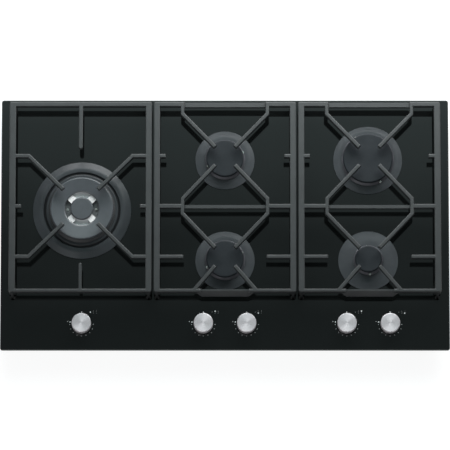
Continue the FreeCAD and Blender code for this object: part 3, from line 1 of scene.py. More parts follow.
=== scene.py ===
import bpy
import bmesh
import math
import numpy as np
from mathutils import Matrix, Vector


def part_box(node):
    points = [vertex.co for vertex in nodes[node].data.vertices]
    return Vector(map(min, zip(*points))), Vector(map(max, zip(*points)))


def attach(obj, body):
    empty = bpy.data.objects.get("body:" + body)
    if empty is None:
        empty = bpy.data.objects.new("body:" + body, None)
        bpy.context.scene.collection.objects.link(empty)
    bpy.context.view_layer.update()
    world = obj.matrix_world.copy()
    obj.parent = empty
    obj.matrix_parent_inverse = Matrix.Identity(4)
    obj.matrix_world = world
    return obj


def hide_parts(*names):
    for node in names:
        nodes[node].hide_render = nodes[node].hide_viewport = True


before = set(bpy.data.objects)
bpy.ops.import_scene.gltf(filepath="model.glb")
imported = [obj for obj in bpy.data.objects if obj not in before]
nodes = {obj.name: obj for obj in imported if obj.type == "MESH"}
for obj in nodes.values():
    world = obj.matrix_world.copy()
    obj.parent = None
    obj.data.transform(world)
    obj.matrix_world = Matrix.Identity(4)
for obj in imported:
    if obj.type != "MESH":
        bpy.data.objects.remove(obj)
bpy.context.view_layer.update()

# ---- camera -----------------------------------------------------------------------------------
# The cooktop is seen from well above its front edge, through a long lens, so the glass stays a
# rectangle that just fills the width of the picture.
camera_height_angle = math.radians(79.5)
camera_distance = 10.0
width_in_view = 0.9036
aim = np.array([0.0, -0.0007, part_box("glass_top")[1].z])
away = np.array([0.0, -math.cos(camera_height_angle), math.sin(camera_height_angle)])

lens = bpy.data.cameras.new("camera")
lens.sensor_width = 36.0
lens.lens = lens.sensor_width * camera_distance / width_in_view
lens.clip_end = 100.0
camera = bpy.data.objects.new("camera", lens)
camera.location = aim + away * camera_distance
camera.rotation_euler = (math.pi / 2 - camera_height_angle, 0.0, 0.0)
bpy.context.scene.collection.objects.link(camera)
bpy.context.scene.camera = camera


# ---- room -------------------------------------------------------------------------------------
# A pale floor, an even grey surround, a soft box behind and one in front, and over the glass a
# card that is brighter to the back, which the polished glass mirrors as its soft grey fade.
def new_material(name):
    """An empty node material, a function that adds a node to it, and one that joins sockets."""
    material = bpy.data.materials.new(name)
    material.use_nodes = True
    tree = material.node_tree
    tree.nodes.clear()

    def add(kind, **settings):
        node = tree.nodes.new(kind)
        for key, setting in settings.items():
            if key in node.inputs:
                node.inputs[key].default_value = setting
            else:
                setattr(node, key, setting)
        return node

    return material, add, tree.links.new


def quad(name, corners, material):
    """One flat four-cornered face."""
    mesh = bpy.data.meshes.new(name)
    mesh.from_pydata(corners, [], [(0, 1, 2, 3)])
    mesh.materials.append(material)
    piece = bpy.data.objects.new(name, mesh)
    bpy.context.scene.collection.objects.link(piece)
    return piece


def pale_floor():
    """Diffuse white with a little light of its own for the camera, so that it reads as white."""
    material, add, join = new_material("pale_floor")
    ray = add("ShaderNodeLightPath")
    seen = add("ShaderNodeMath", operation="MAXIMUM")
    seen_in_glass = add("ShaderNodeMath", operation="MAXIMUM")
    join(ray.outputs["Is Camera Ray"], seen.inputs[0])
    join(ray.outputs["Is Glossy Ray"], seen.inputs[1])
    join(seen.outputs[0], seen_in_glass.inputs[0])
    join(ray.outputs["Is Transmission Ray"], seen_in_glass.inputs[1])
    glow = add("ShaderNodeEmission", Color=(1, 1, 1, 1))
    strength = add("ShaderNodeMath", operation="MULTIPLY")
    strength.inputs[1].default_value = 0.86
    join(seen_in_glass.outputs[0], strength.inputs[0])
    join(strength.outputs[0], glow.inputs["Strength"])
    paint = add("ShaderNodeBsdfDiffuse", Color=(0.26, 0.26, 0.26, 1))
    both = add("ShaderNodeAddShader")
    join(glow.outputs[0], both.inputs[0])
    join(paint.outputs[0], both.inputs[1])
    join(both.outputs[0], add("ShaderNodeOutputMaterial").inputs["Surface"])
    return material


half_floor = 12.0
floor = quad("floor", [(-half_floor, -half_floor, 0), (half_floor, -half_floor, 0),
                       (half_floor, half_floor, 0), (-half_floor, half_floor, 0)], pale_floor())


def card_glow():
    """Light that grows from front to back of the card, slowly over the glass and fast behind it,
    and a little from left to right."""
    material, add, join = new_material("card_glow")
    place = add("ShaderNodeTexCoord")
    apart = add("ShaderNodeSeparateXYZ")
    join(place.outputs["Object"], apart.inputs[0])

    def ramp(axis, near, far, low, high):
        rise = add("ShaderNodeMapRange")
        for socket, setting in zip(("From Min", "From Max", "To Min", "To Max"),
                                   (near, far, low, high)):
            rise.inputs[socket].default_value = setting
        join(apart.outputs[axis], rise.inputs["Value"])
        return rise.outputs[0]

    total = ramp("Y", 0.00, 0.55, 0.20, 0.35)
    for other in (ramp("Y", 0.24, 0.55, 0.0, 0.34), ramp("Y", 0.58, 1.15, 0.0, 3.6)):
        both = add("ShaderNodeMath", operation="ADD")
        join(total, both.inputs[0])
        join(other, both.inputs[1])
        total = both.outputs[0]
    across = add("ShaderNodeMath", operation="MULTIPLY")
    join(total, across.inputs[0])
    join(ramp("X", -0.45, 0.45, 0.94, 1.10), across.inputs[1])
    glow = add("ShaderNodeEmission", Color=(0.80, 1.0, 1.0, 1))
    join(across.outputs[0], glow.inputs["Strength"])
    join(glow.outputs[0], add("ShaderNodeOutputMaterial").inputs["Surface"])
    return material


card_z = 1.5
card = quad("overhead_card", [(-1.1, -0.9, card_z), (-1.1, 1.3, card_z), (1.1, 1.3, card_z),
                              (1.1, -0.9, card_z)], card_glow())
card.visible_camera = False
card.visible_shadow = False

world = bpy.data.worlds.new("surround")
world.use_nodes = True
surround = world.node_tree
surround.nodes.clear()
ray = surround.nodes.new("ShaderNodeLightPath")
dim = surround.nodes.new("ShaderNodeBackground")
dim.inputs["Color"].default_value = (0.92, 0.96, 1.0, 1)
dim.inputs["Strength"].default_value = 0.30
white = surround.nodes.new("ShaderNodeBackground")
white.inputs["Color"].default_value = (1, 1, 1, 1)
white.inputs["Strength"].default_value = 1.0
pick = surround.nodes.new("ShaderNodeMixShader")
end = surround.nodes.new("ShaderNodeOutputWorld")
surround.links.new(ray.outputs["Is Camera Ray"], pick.inputs[0])
surround.links.new(dim.outputs[0], pick.inputs[1])
surround.links.new(white.outputs[0], pick.inputs[2])
surround.links.new(pick.outputs[0], end.inputs["Surface"])
bpy.context.scene.world = world
bpy.context.scene.view_settings.view_transform = "Standard"


def soft_box(name, place, toward, width, height, watts):
    """A rectangular lamp at a place, facing a point."""
    lamp = bpy.data.lights.new(name, "AREA")
    lamp.shape = "RECTANGLE"
    lamp.size = width
    lamp.size_y = height
    lamp.energy = watts
    stand = bpy.data.objects.new(name, lamp)
    stand.location = place
    facing = Vector(toward) - Vector(place)
    stand.rotation_mode = "QUATERNION"
    stand.rotation_quaternion = facing.to_track_quat("-Z", "Y")
    bpy.context.scene.collection.objects.link(stand)


soft_box("back_box", (0.20, 1.0, 0.80), (0, 0, 0.05), 1.8, 0.6, 30)
soft_box("front_box", (-0.9, -1.6, 2.0), (0, 0, 0.05), 1.4, 1.0, 12)


# ---- glass top --------------------------------------------------------------------------------
# Black tempered glass, 8 mm thick. The face is polished; the bevel and the edge are ground and
# look a little greener and duller than the face.
def coat_of(name, colour, roughness, **sockets):
    """A Principled material; returns it with its adder, joiner and shader."""
    material, add, join = new_material(name)
    shader = add("ShaderNodeBsdfPrincipled")
    shader.inputs["Base Color"].default_value = (*colour, 1)
    shader.inputs["Roughness"].default_value = roughness
    for key, setting in sockets.items():
        shader.inputs[key.replace("_", " ")].default_value = setting
    join(shader.outputs[0], add("ShaderNodeOutputMaterial").inputs["Surface"])
    return material, add, join, shader


def wear(parts, colour, darker, scale, roughness=None, bump=None):
    """Noise on Object coordinates mottles the colour, varies the roughness and adds a grain."""
    material, add, join, shader = parts
    place = add("ShaderNodeTexCoord")
    cloud = add("ShaderNodeTexNoise", Scale=scale, Detail=5.0, Roughness=0.6)
    join(place.outputs["Object"], cloud.inputs["Vector"])
    tint = add("ShaderNodeMix", data_type="RGBA")
    tint.inputs["A"].default_value = (*colour, 1)
    tint.inputs["B"].default_value = (*darker, 1)
    spread = add("ShaderNodeMapRange")
    spread.inputs["From Min"].default_value = 0.35
    spread.inputs["From Max"].default_value = 0.68
    join(cloud.outputs[0], spread.inputs["Value"])
    join(spread.outputs[0], tint.inputs[0])
    join(tint.outputs["Result"], shader.inputs["Base Color"])
    if roughness:
        dull = add("ShaderNodeMapRange")
        dull.inputs["To Min"].default_value = roughness[0]
        dull.inputs["To Max"].default_value = roughness[1]
        join(cloud.outputs[0], dull.inputs["Value"])
        join(dull.outputs[0], shader.inputs["Roughness"])
    if bump:
        grain_scale, height = bump
        grain = add("ShaderNodeTexNoise", Scale=grain_scale, Detail=3.0)
        join(place.outputs["Object"], grain.inputs["Vector"])
        relief = add("ShaderNodeBump", Strength=1.0, Distance=height)
        join(grain.outputs[0], relief.inputs["Height"])
        join(relief.outputs[0], shader.inputs["Normal"])
    return material


def from_axis(add, join, centre):
    """Sockets for x, y and z from an upright axis, and for the distance from it."""
    place = add("ShaderNodeTexCoord")
    offset = add("ShaderNodeVectorMath", operation="SUBTRACT")
    offset.inputs[1].default_value = (centre[0], centre[1], 0)
    join(place.outputs["Object"], offset.inputs[0])
    apart = add("ShaderNodeSeparateXYZ")
    join(offset.outputs[0], apart.inputs[0])
    level = add("ShaderNodeVectorMath", operation="MULTIPLY")
    level.inputs[1].default_value = (1, 1, 0)
    join(offset.outputs[0], level.inputs[0])
    distance = add("ShaderNodeVectorMath", operation="LENGTH")
    join(level.outputs[0], distance.inputs[0])
    return (*(apart.outputs[axis] for axis in "XYZ"), distance.outputs["Value"])


def step(add, join, socket, near, far):
    """A socket that goes from 0 to 1 while the given one goes from near to far."""
    rise = add("ShaderNodeMapRange")
    rise.inputs["From Min"].default_value = near
    rise.inputs["From Max"].default_value = far
    join(socket, rise.inputs["Value"])
    return rise.outputs[0]


def product(add, join, first, second):
    """A socket with one socket times another."""
    both = add("ShaderNodeMath", operation="MULTIPLY")
    join(first, both.inputs[0])
    join(second, both.inputs[1])
    return both.outputs[0]


def tinted(parts, mask, colour):
    """Where the mask is 1 the coat takes another colour."""
    material, add, join, shader = parts
    before = shader.inputs["Base Color"].links[0].from_socket
    mix = add("ShaderNodeMix", data_type="RGBA")
    mix.inputs["B"].default_value = (*colour, 1)
    join(mask, mix.inputs[0])
    join(before, mix.inputs["A"])
    join(mix.outputs["Result"], shader.inputs["Base Color"])
    return material


def wearing(node, material):
    """Gives a CAD node one material."""
    mesh = nodes[node].data
    mesh.materials.clear()
    mesh.materials.append(material)


half_width, half_depth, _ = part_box("glass_top")[1]
bevel = 0.0015


def black_glass():
    """Polished black; outside the face, on the bevel and the edge, it is ground grey-green."""
    material, add, join, shader = coat_of("black_glass", (0.003, 0.0035, 0.0035), 0.04, IOR=1.52)
    place = add("ShaderNodeTexCoord")
    apart = add("ShaderNodeSeparateXYZ")
    join(place.outputs["Object"], apart.inputs[0])
    past = []
    for axis, face_ends in (("X", half_width - bevel), ("Y", half_depth - bevel)):
        side = add("ShaderNodeMath", operation="ABSOLUTE")
        join(apart.outputs[axis], side.inputs[0])
        beyond = add("ShaderNodeMath", operation="GREATER_THAN")
        beyond.inputs[1].default_value = face_ends
        join(side.outputs[0], beyond.inputs[0])
        past.append(beyond)
    ground = add("ShaderNodeMath", operation="MAXIMUM")
    join(past[0].outputs[0], ground.inputs[0])
    join(past[1].outputs[0], ground.inputs[1])
    grit = add("ShaderNodeTexNoise", Scale=900.0, Detail=2.0)
    join(place.outputs["Object"], grit.inputs["Vector"])
    edge = add("ShaderNodeMix", data_type="RGBA")
    edge.inputs["A"].default_value = (0.022, 0.028, 0.027, 1)
    edge.inputs["B"].default_value = (0.034, 0.042, 0.040, 1)
    join(grit.outputs[0], edge.inputs[0])
    body = add("ShaderNodeMix", data_type="RGBA")
    body.inputs["A"].default_value = (0.003, 0.0035, 0.0035, 1)
    join(ground.outputs[0], body.inputs[0])
    join(edge.outputs["Result"], body.inputs["B"])
    join(body.outputs["Result"], shader.inputs["Base Color"])
    dull = add("ShaderNodeMapRange")
    dull.inputs["To Min"].default_value = 0.04
    dull.inputs["To Max"].default_value = 0.38
    join(ground.outputs[0], dull.inputs["Value"])
    join(dull.outputs[0], shader.inputs["Roughness"])
    return material


wearing("glass_top", black_glass())


# ---- printed marks ----------------------------------------------------------------------------
# White ceramic ink, fired on the glass round each knob: a dot for off, a dot for full flame, nine
# small ones down to low, and a little plan of the five burners with the knob's own one filled.
def spot_of(node):
    """Centre in plan, greatest radius, lowest and highest point of a round node."""
    low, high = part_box(node)
    return (low.x + high.x) / 2, (low.y + high.y) / 2, (high.x - low.x) / 2, low.z, high.z


ink_height = 0.00006
glass_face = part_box("glass_top")[1].z
dial_radius = 0.0234
off_distance = 0.0248
flame_distance = 0.0285
full_flame = np.radians(168)
large_dot, flame_dot, small_dot = 0.0012, 0.0010, 0.00085
own_plan_dot, other_plan_dot = 0.0014, 0.0006
plan_corner = (0.0235, 0.0250)
plan_spots = {"wok": (-0.006, 0.0), "rear_middle": (0.0, 0.002), "front_middle": (0.0, -0.002),
              "rear_right": (0.006, 0.002), "front_right": (0.006, -0.002)}


def ink(name, brightness):
    """Fired ink: matt, nearly white or greyed."""
    tone = np.array([0.98, 1.0, 1.0]) * brightness
    return wear(coat_of(name, tone, 0.5), tone, tone * 0.85, 400.0, bump=(2500.0, 0.00002))


def dots(name, spots, material, rides):
    """Low round discs: each is 24 points on a circle, once on the glass and once at ink height."""
    turn = np.linspace(0, 2 * np.pi, 24, endpoint=False)
    circle = np.stack([np.cos(turn), np.sin(turn)], 1)
    spots = np.array(spots)
    rings = spots[:, None, None, :2] + circle[None, None] * spots[:, None, None, 2:3]
    flat = np.broadcast_to(rings, (len(spots), 2, 24, 2))
    level = np.array([glass_face, glass_face + ink_height]).reshape(1, 2, 1, 1)
    verts = np.concatenate([flat, np.broadcast_to(level, (len(spots), 2, 24, 1))], 3)
    faces = []
    step = np.arange(24)
    for i in range(len(spots)):
        base = i * 48
        walls = np.stack([base + step, base + (step + 1) % 24, base + 24 + (step + 1) % 24,
                          base + 24 + step], 1)
        faces += walls.tolist() + [(base + 24 + step).tolist(), (base + step[::-1]).tolist()]
    mesh = bpy.data.meshes.new(name)
    mesh.from_pydata(verts.reshape(-1, 3).tolist(), [], faces)
    mesh.materials.append(material)
    piece = bpy.data.objects.new(name, mesh)
    bpy.context.scene.collection.objects.link(piece)
    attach(piece, rides)
    return piece


bright_spots = []
dim_spots = []
for tap, own in plan_spots.items():
    knob_x, knob_y, _, _, _ = spot_of(tap + "_knob")
    place = np.array([knob_x, knob_y])
    steps = np.radians(np.arange(180, 361, 22.5))
    ring = place + dial_radius * np.stack([np.cos(steps), np.sin(steps)], 1)
    dim_spots += [(x, y, small_dot) for x, y in ring]
    toward_full = np.array([np.cos(full_flame), np.sin(full_flame)])
    bright_spots.append((*(place + dial_radius * toward_full), large_dot))
    dim_spots.append((*(place + flame_distance * toward_full), flame_dot))
    bright_spots.append((knob_x, knob_y + off_distance, large_dot))
    for name, (dx, dy) in plan_spots.items():
        spot = (knob_x + plan_corner[0] + dx, knob_y + plan_corner[1] + dy)
        if name == tap:
            bright_spots.append((*spot, own_plan_dot))
        else:
            dim_spots.append((*spot, other_plan_dot))
dots("bright_marks", bright_spots, ink("white_ink", 0.85), "cooktop")
dots("dim_marks", dim_spots, ink("grey_ink", 0.40), "cooktop")


# ---- tray, seal and clamps --------------------------------------------------------------------
# Zinc-coated sheet steel, pressed to a box with a recess for the gas entry; a foam strip under the
# glass edge; four bent clamps with their screws, and a black bush for the lead.
def zinc_sheet(name):
    """Spangled zinc: soft-edged crystals of slightly different grey."""
    material, add, join, shader = coat_of(name, (0.56, 0.57, 0.58), 0.42, Metallic=0.9)
    place = add("ShaderNodeTexCoord")
    spangle = add("ShaderNodeTexVoronoi", Scale=95.0)
    join(place.outputs["Object"], spangle.inputs["Vector"])
    grey = add("ShaderNodeMapRange")
    grey.inputs["To Min"].default_value = 0.46
    grey.inputs["To Max"].default_value = 0.66
    apart = add("ShaderNodeSeparateXYZ")
    join(spangle.outputs["Color"], apart.inputs[0])
    join(apart.outputs["X"], grey.inputs["Value"])
    tone = add("ShaderNodeCombineXYZ")
    for axis in "XYZ":
        join(grey.outputs[0], tone.inputs[axis])
    join(tone.outputs[0], shader.inputs["Base Color"])
    dull = add("ShaderNodeMapRange")
    dull.inputs["To Min"].default_value = 0.34
    dull.inputs["To Max"].default_value = 0.52
    join(apart.outputs["Y"], dull.inputs["Value"])
    join(dull.outputs[0], shader.inputs["Roughness"])
    return material


zinc = zinc_sheet("zinc_coated_sheet")
for node in ("bottom_tray", "clamp_brackets", "rail_brackets"):
    wearing(node, zinc)
bright_zinc = wear(coat_of("bright_zinc", (0.68, 0.69, 0.70), 0.28, Metallic=1.0),
                   (0.68, 0.69, 0.70), (0.55, 0.56, 0.58), 260.0, (0.22, 0.36))
for node in ("clamp_screws", "dish_screws"):
    wearing(node, bright_zinc)
wearing("worktop_seal", wear(coat_of("closed_cell_foam", (0.045, 0.045, 0.047), 0.95),
                             (0.045, 0.045, 0.047), (0.025, 0.025, 0.026), 700.0,
                             bump=(1800.0, 0.0003)))
moulded_black = wear(coat_of("moulded_black", (0.030, 0.030, 0.032), 0.45),
                     (0.030, 0.030, 0.032), (0.022, 0.022, 0.024), 150.0, (0.38, 0.52),
                     (2200.0, 0.00004))
for node in ("mains_lead_gland", "ignition_switches"):
    wearing(node, moulded_black)


# ---- burner dishes ----------------------------------------------------------------------------
# Pressed steel under satin black enamel. The skirt swells up from the glass to a level seat for
# the crown; the wok burner's dish has a rolled crest and a groove inside it.
def rounded(outline, radii, steps=5):
    """Each corner becomes a quadratic curve between points a radius away on its two sides, with one
    more point a little further out on each side to keep the flats flat."""
    outline = np.array(outline, float)
    radii = np.broadcast_to(np.array(radii, float), (len(outline),)).reshape(-1, 1)
    before, after = np.roll(outline, 1, 0) - outline, np.roll(outline, -1, 0) - outline
    reach_before = np.linalg.norm(before, axis=1, keepdims=True)
    reach_after = np.linalg.norm(after, axis=1, keepdims=True)
    radii = np.minimum(radii, np.minimum(reach_before, reach_after) * 0.42)
    start = outline + before / reach_before * radii
    end = outline + after / reach_after * radii
    t = np.linspace(0, 1, steps).reshape(1, -1, 1)
    curve = ((1 - t) ** 2 * start[:, None] + 2 * t * (1 - t) * outline[:, None]
             + t ** 2 * end[:, None])
    lead = outline + before / reach_before * radii * 1.15
    trail = outline + after / reach_after * radii * 1.15
    line = np.concatenate([lead[:, None], curve, trail[:, None]], 1).reshape(-1, 2)
    return line[np.linalg.norm(line - np.roll(line, 1, 0), axis=1) > 1e-8]


def lathe(name, outline, centre, around=128, rides=None, material=None):
    """A closed outline of radius and height turned about an upright axis:
    x = cx + r cos a, y = cy + r sin a, z = h."""
    outline = np.array(outline)
    turn = np.linspace(0, 2 * np.pi, around, endpoint=False)
    r, h = outline[:, 0:1], outline[:, 1:2]
    verts = np.stack([centre[0] + r * np.cos(turn), centre[1] + r * np.sin(turn),
                      np.broadcast_to(h, (len(outline), around))], 2).reshape(-1, 3)
    i, j = np.meshgrid(np.arange(len(outline)), np.arange(around), indexing="ij")
    i2, j2 = (i + 1) % len(outline), (j + 1) % around
    faces = np.stack([i * around + j, i * around + j2, i2 * around + j2, i2 * around + j], 2)
    mesh = bpy.data.meshes.new(name)
    mesh.from_pydata(verts.tolist(), [], faces.reshape(-1, 4).tolist())
    shell = bmesh.new()
    shell.from_mesh(mesh)
    bmesh.ops.remove_doubles(shell, verts=shell.verts, dist=1e-7)
    bmesh.ops.dissolve_degenerate(shell, edges=shell.edges, dist=1e-7)
    bmesh.ops.recalc_face_normals(shell, faces=shell.faces)
    for face in shell.faces:
        face.smooth = True
    shell.to_mesh(mesh)
    shell.free()
    mesh.materials.append(material)
    piece = bpy.data.objects.new(name, mesh)
    bpy.context.scene.collection.objects.link(piece)
    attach(piece, rides)
    return piece


dish_enamel = wear(coat_of("satin_black_enamel", (0.050, 0.055, 0.060), 0.36,
                           Specular_IOR_Level=0.12),
                   (0.055, 0.060, 0.065), (0.046, 0.051, 0.055), 45.0, (0.32, 0.42),
                   (1400.0, 0.00003))
mm = 0.001
sheet = 1.2 * mm
cap_radius = {"rear_middle": 37.5 * mm, "front_middle": 37.5 * mm, "rear_right": 50 * mm,
              "front_right": 27 * mm}
for burner, cap in cap_radius.items():
    x, y, rim, low, high = spot_of(burner + "_burner_dish")
    seat = cap + 7 * mm
    bore = cap - 12 * mm
    swell = np.linspace(0, 1, 11)[1:-1]
    skirt = np.stack([rim - (rim - seat) * swell,
                      low + sheet + (high - low - sheet) * np.sin(swell * np.pi / 2) ** 1.25], 1)
    line = np.concatenate([[(rim - 7 * mm, low), (rim, low), (rim, low + sheet)], skirt,
                           [(seat, high), (bore, high), (bore, high - sheet),
                            (seat - sheet, high - sheet)]])
    soft = np.array([0.3, 0.3, 0.5] + [0] * len(skirt) + [0, 0.3, 0.3, 0.4]) * mm
    outline = rounded(line, soft)
    dish = lathe(burner + "_dish", outline, (x, y), rides="cooktop", material=dish_enamel)
    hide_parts(burner + "_burner_dish")

x, y, rim, low, crest = spot_of("wok_burner_dish")
seat = crest - sheet
groove = 74.5 * mm
line = [(rim - 7 * mm, low), (rim, low), (rim, low + sheet), (groove + 10 * mm, crest),
        (groove + 3 * mm, crest), (groove + 1.5 * mm, seat - sheet),
        (groove - 1.5 * mm, seat - sheet),
        (groove - 3 * mm, seat), (51.5 * mm, seat), (51.5 * mm, seat - sheet),
        (groove - 4.2 * mm, seat - sheet), (groove - 2.7 * mm, seat - 2 * sheet),
        (groove + 2.7 * mm, seat - 2 * sheet), (groove + 4.2 * mm, seat), (groove + 10 * mm, seat)]
soft = np.array([0.3, 0.4, 0.4, 3.5, 1.0, 0.6, 0.6, 0.8, 0.3, 0.3, 0.4, 0.4, 0.4, 0.4, 2.0]) * mm


def enamel_with_painted_groove_shade(centre):
    """Satin enamel with painted shade: near black in the bed of the wok burner's groove."""
    parts = coat_of("groove_painted_shade_enamel", (0.036, 0.040, 0.044), 0.34, Specular_IOR_Level=0.20)
    wear(parts, (0.038, 0.042, 0.046), (0.030, 0.034, 0.037), 45.0, (0.28, 0.38),
         (1400.0, 0.00003))
    _, add, join, _ = parts
    _, _, height, distance = from_axis(add, join, centre)
    # Painted shade: the groove's bed, below the seat and inside 78 mm, goes near black, for the
    # shade round the ring cap and the dark crown mirrored there.
    sunk = step(add, join, height, seat - 0.3 * mm, seat - 0.8 * mm)
    inside = step(add, join, distance, groove + 3.5 * mm, groove + 3.0 * mm)
    return tinted(parts, product(add, join, sunk, inside), (0.004, 0.004, 0.005))


dish = lathe("wok_dish", rounded(line, soft), (x, y), 192, "cooktop", enamel_with_painted_groove_shade((x, y)))
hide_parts("wok_burner_dish")


# ---- crowns, caps and probes ------------------------------------------------------------------
# The crowns are aluminium castings coloured dark, with sawn flame slots. Enamelled steel caps lie
# on them: level discs, and on the wok burner also a ring whose face falls to the middle.
dark_casting = wear(coat_of("dark_casting", (0.10, 0.10, 0.11), 0.5, Metallic=0.7),
                    (0.11, 0.11, 0.12), (0.07, 0.07, 0.08), 70.0, (0.44, 0.58), (1600.0, 0.00005))
for burner in cap_radius:
    wearing(burner + "_burner_crown", dark_casting)


def bridged_casting():
    """Near-black casting, greyer between the two chambers, with painted light making it pale there
    in front and behind; the level tops of the bridges there are machined bright."""
    parts = coat_of("bridged_casting", (0.03, 0.03, 0.033), 0.5)
    wear(parts, (0.034, 0.035, 0.037), (0.020, 0.021, 0.023), 300.0)
    _, add, join, _ = parts
    axis_x, axis_y, _, _, top = spot_of("wok_burner_crown")
    x, _, z, distance = from_axis(add, join, (axis_x, axis_y))
    between = step(add, join, distance, 36.6 * mm, 36.4 * mm)
    tinted(parts, between, (0.10, 0.105, 0.11))
    aside = add("ShaderNodeMath", operation="ABSOLUTE")
    join(x, aside.inputs[0])
    painted_light_front_and_back = step(add, join, aside.outputs[0], 19 * mm, 16 * mm)
    bridge_tops = step(add, join, z, top - 2.3 * mm, top - 2.1 * mm)
    # Painted light: between the chambers the floor is pale in front and behind, where the lamps
    # light the gap.
    tinted(parts, product(add, join, painted_light_front_and_back, between), (0.84, 0.85, 0.86))
    tinted(parts, product(add, join, bridge_tops, between), (0.62, 0.61, 0.61))
    return parts[0]


wearing("wok_burner_crown", bridged_casting())
cast_cup = wear(coat_of("pressure_casting", (0.50, 0.51, 0.52), 0.5, Metallic=1.0),
                (0.52, 0.53, 0.54), (0.40, 0.41, 0.42), 60.0, (0.42, 0.56), (900.0, 0.00008))
for node in ("wok_burner_cup", "rapid_burner_cup", "auxiliary_burner_cup",
             "semi_rapid_burner_cups", "gas_taps"):
    wearing(node, cast_cup)

cap_enamel = wear(coat_of("matt_black_enamel", (0.014, 0.017, 0.020), 0.50,
                          Specular_IOR_Level=0.16),
                  (0.015, 0.018, 0.021), (0.011, 0.014, 0.017), 60.0, (0.46, 0.56),
                  (1700.0, 0.00003))
wok_enamel = wear(coat_of("grey_black_enamel", (0.056, 0.062, 0.069), 0.30),
                  (0.058, 0.064, 0.071), (0.050, 0.056, 0.062), 60.0, (0.26, 0.34),
                  (1700.0, 0.00002))


def level_cap(name, node, body, material, collar):
    """A disc with a bevelled edge, and under it a collar of the given radius."""
    x, y, cap, low, top = spot_of(node)
    rest = low + 2 * mm
    inner = collar - collar_wall
    line = [(0, rest + 1.5 * mm), (inner, rest + 1.5 * mm), (inner, low), (collar, low),
            (collar, rest), (cap, rest), (cap, top - bevel_of_cap), (cap - bevel_of_cap, top),
            (0, top)]
    soft = np.array([0, 0.3, 0.3, 0.3, 0.2, 0.5, 0.8, 0.8, 0]) * mm
    disc = lathe(name, rounded(line, soft), (x, y), rides=body, material=material)
    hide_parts(node)


collar_wall = 2.5 * mm
bevel_of_cap = 2 * mm
for burner in cap_radius:
    level_cap(burner + "_disc", burner + "_burner_cap", burner + "_cap", cap_enamel,
              spot_of(burner + "_burner_cap")[2] - 8.3 * mm)
level_cap("wok_inner_disc", "wok_inner_cap", "wok_inner_cap", wok_enamel, 14.7 * mm)

x, y, cap, low, top = spot_of("wok_ring_cap")
rest = low + 2 * mm
hole = 34 * mm
line = [(hole, rest), (52.7 * mm, rest), (52.7 * mm, low), (55.2 * mm, low), (55.2 * mm, rest),
        (cap, rest), (cap, top - 2 * mm), (cap - 2 * mm, top), (hole + 2 * mm, rest + 3.5 * mm),
        (hole, rest + 2.5 * mm)]
soft = np.array([0.3, 0.2, 0.3, 0.3, 0.2, 0.5, 0.9, 1.2, 0.9, 0.6]) * mm
ring = lathe("wok_ring", rounded(line, soft), (x, y), 192, "wok_ring_cap", wok_enamel)
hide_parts("wok_ring_cap")


def glazed_pin():
    """White glazed ceramic; above the crown's seat it is the bare steel wire."""
    material, add, join, shader = coat_of("glazed_pin", (0.86, 0.84, 0.79), 0.2)
    place = add("ShaderNodeTexCoord")
    apart = add("ShaderNodeSeparateXYZ")
    join(place.outputs["Object"], apart.inputs[0])
    wire = add("ShaderNodeMath", operation="GREATER_THAN")
    wire.inputs[1].default_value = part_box("spark_electrodes")[1].z - 5.5 * mm
    join(apart.outputs["Z"], wire.inputs[0])
    speck = add("ShaderNodeTexNoise", Scale=500.0, Detail=2.0)
    join(place.outputs["Object"], speck.inputs["Vector"])
    glaze = add("ShaderNodeMix", data_type="RGBA")
    glaze.inputs["A"].default_value = (0.88, 0.86, 0.81, 1)
    glaze.inputs["B"].default_value = (0.78, 0.76, 0.70, 1)
    join(speck.outputs[0], glaze.inputs[0])
    colour = add("ShaderNodeMix", data_type="RGBA")
    colour.inputs["B"].default_value = (0.62, 0.61, 0.59, 1)
    join(wire.outputs[0], colour.inputs[0])
    join(glaze.outputs["Result"], colour.inputs["A"])
    join(colour.outputs["Result"], shader.inputs["Base Color"])
    join(wire.outputs[0], shader.inputs["Metallic"])
    return material


wearing("spark_electrodes", glazed_pin())
wearing("thermocouples", wear(coat_of("drawn_steel", (0.66, 0.65, 0.62), 0.25, Metallic=1.0),
                              (0.68, 0.67, 0.64), (0.50, 0.46, 0.40), 300.0, (0.2, 0.35)))


# ---- pan supports -----------------------------------------------------------------------------
# Cast iron under matt black enamel with the fine orange peel of fired enamel; painted shade
# turns the legs nearly black towards the glass. Each support stands on four silicone feet.
def cast_iron():
    """Matt enamel; from 28 mm over the glass down, painted shade turns it black and takes its
    gloss.
    """
    parts = coat_of("enamelled_cast_iron", (0.025, 0.027, 0.028), 0.42)
    wear(parts, (0.028, 0.030, 0.031), (0.020, 0.022, 0.023), 38.0, (0.36, 0.48),
         (520.0, 0.00010))
    _, add, join, shader = parts
    _, _, height, _ = from_axis(add, join, (0, 0))
    # Painted shade: from 28 mm over the glass down to 10 mm the colour fades to near black.
    tinted(parts, step(add, join, height, glass_face + 28 * mm, glass_face + 10 * mm),
           (0.002, 0.002, 0.002))
    # Painted shade: the specular level falls from 0.5 at 30 mm over the glass to nothing at 8 mm.
    gloss_kept_above_painted_shade = add("ShaderNodeMath", operation="MULTIPLY")
    gloss_kept_above_painted_shade.inputs[1].default_value = 0.5
    join(step(add, join, height, glass_face + 8 * mm, glass_face + 30 * mm), gloss_kept_above_painted_shade.inputs[0])
    join(gloss_kept_above_painted_shade.outputs[0], shader.inputs["Specular IOR Level"])
    return parts[0]


iron = cast_iron()
silicone = wear(coat_of("silicone", (0.030, 0.030, 0.030), 0.7), (0.030, 0.030, 0.030),
                (0.020, 0.020, 0.020), 300.0, (0.6, 0.8), (1500.0, 0.00004))
for side in ("left", "middle", "right"):
    wearing(side + "_grate", iron)
    wearing(side + "_grate_feet", silicone)
wearing("shaft_seals", silicone)
wearing("burner_gaskets", silicone)


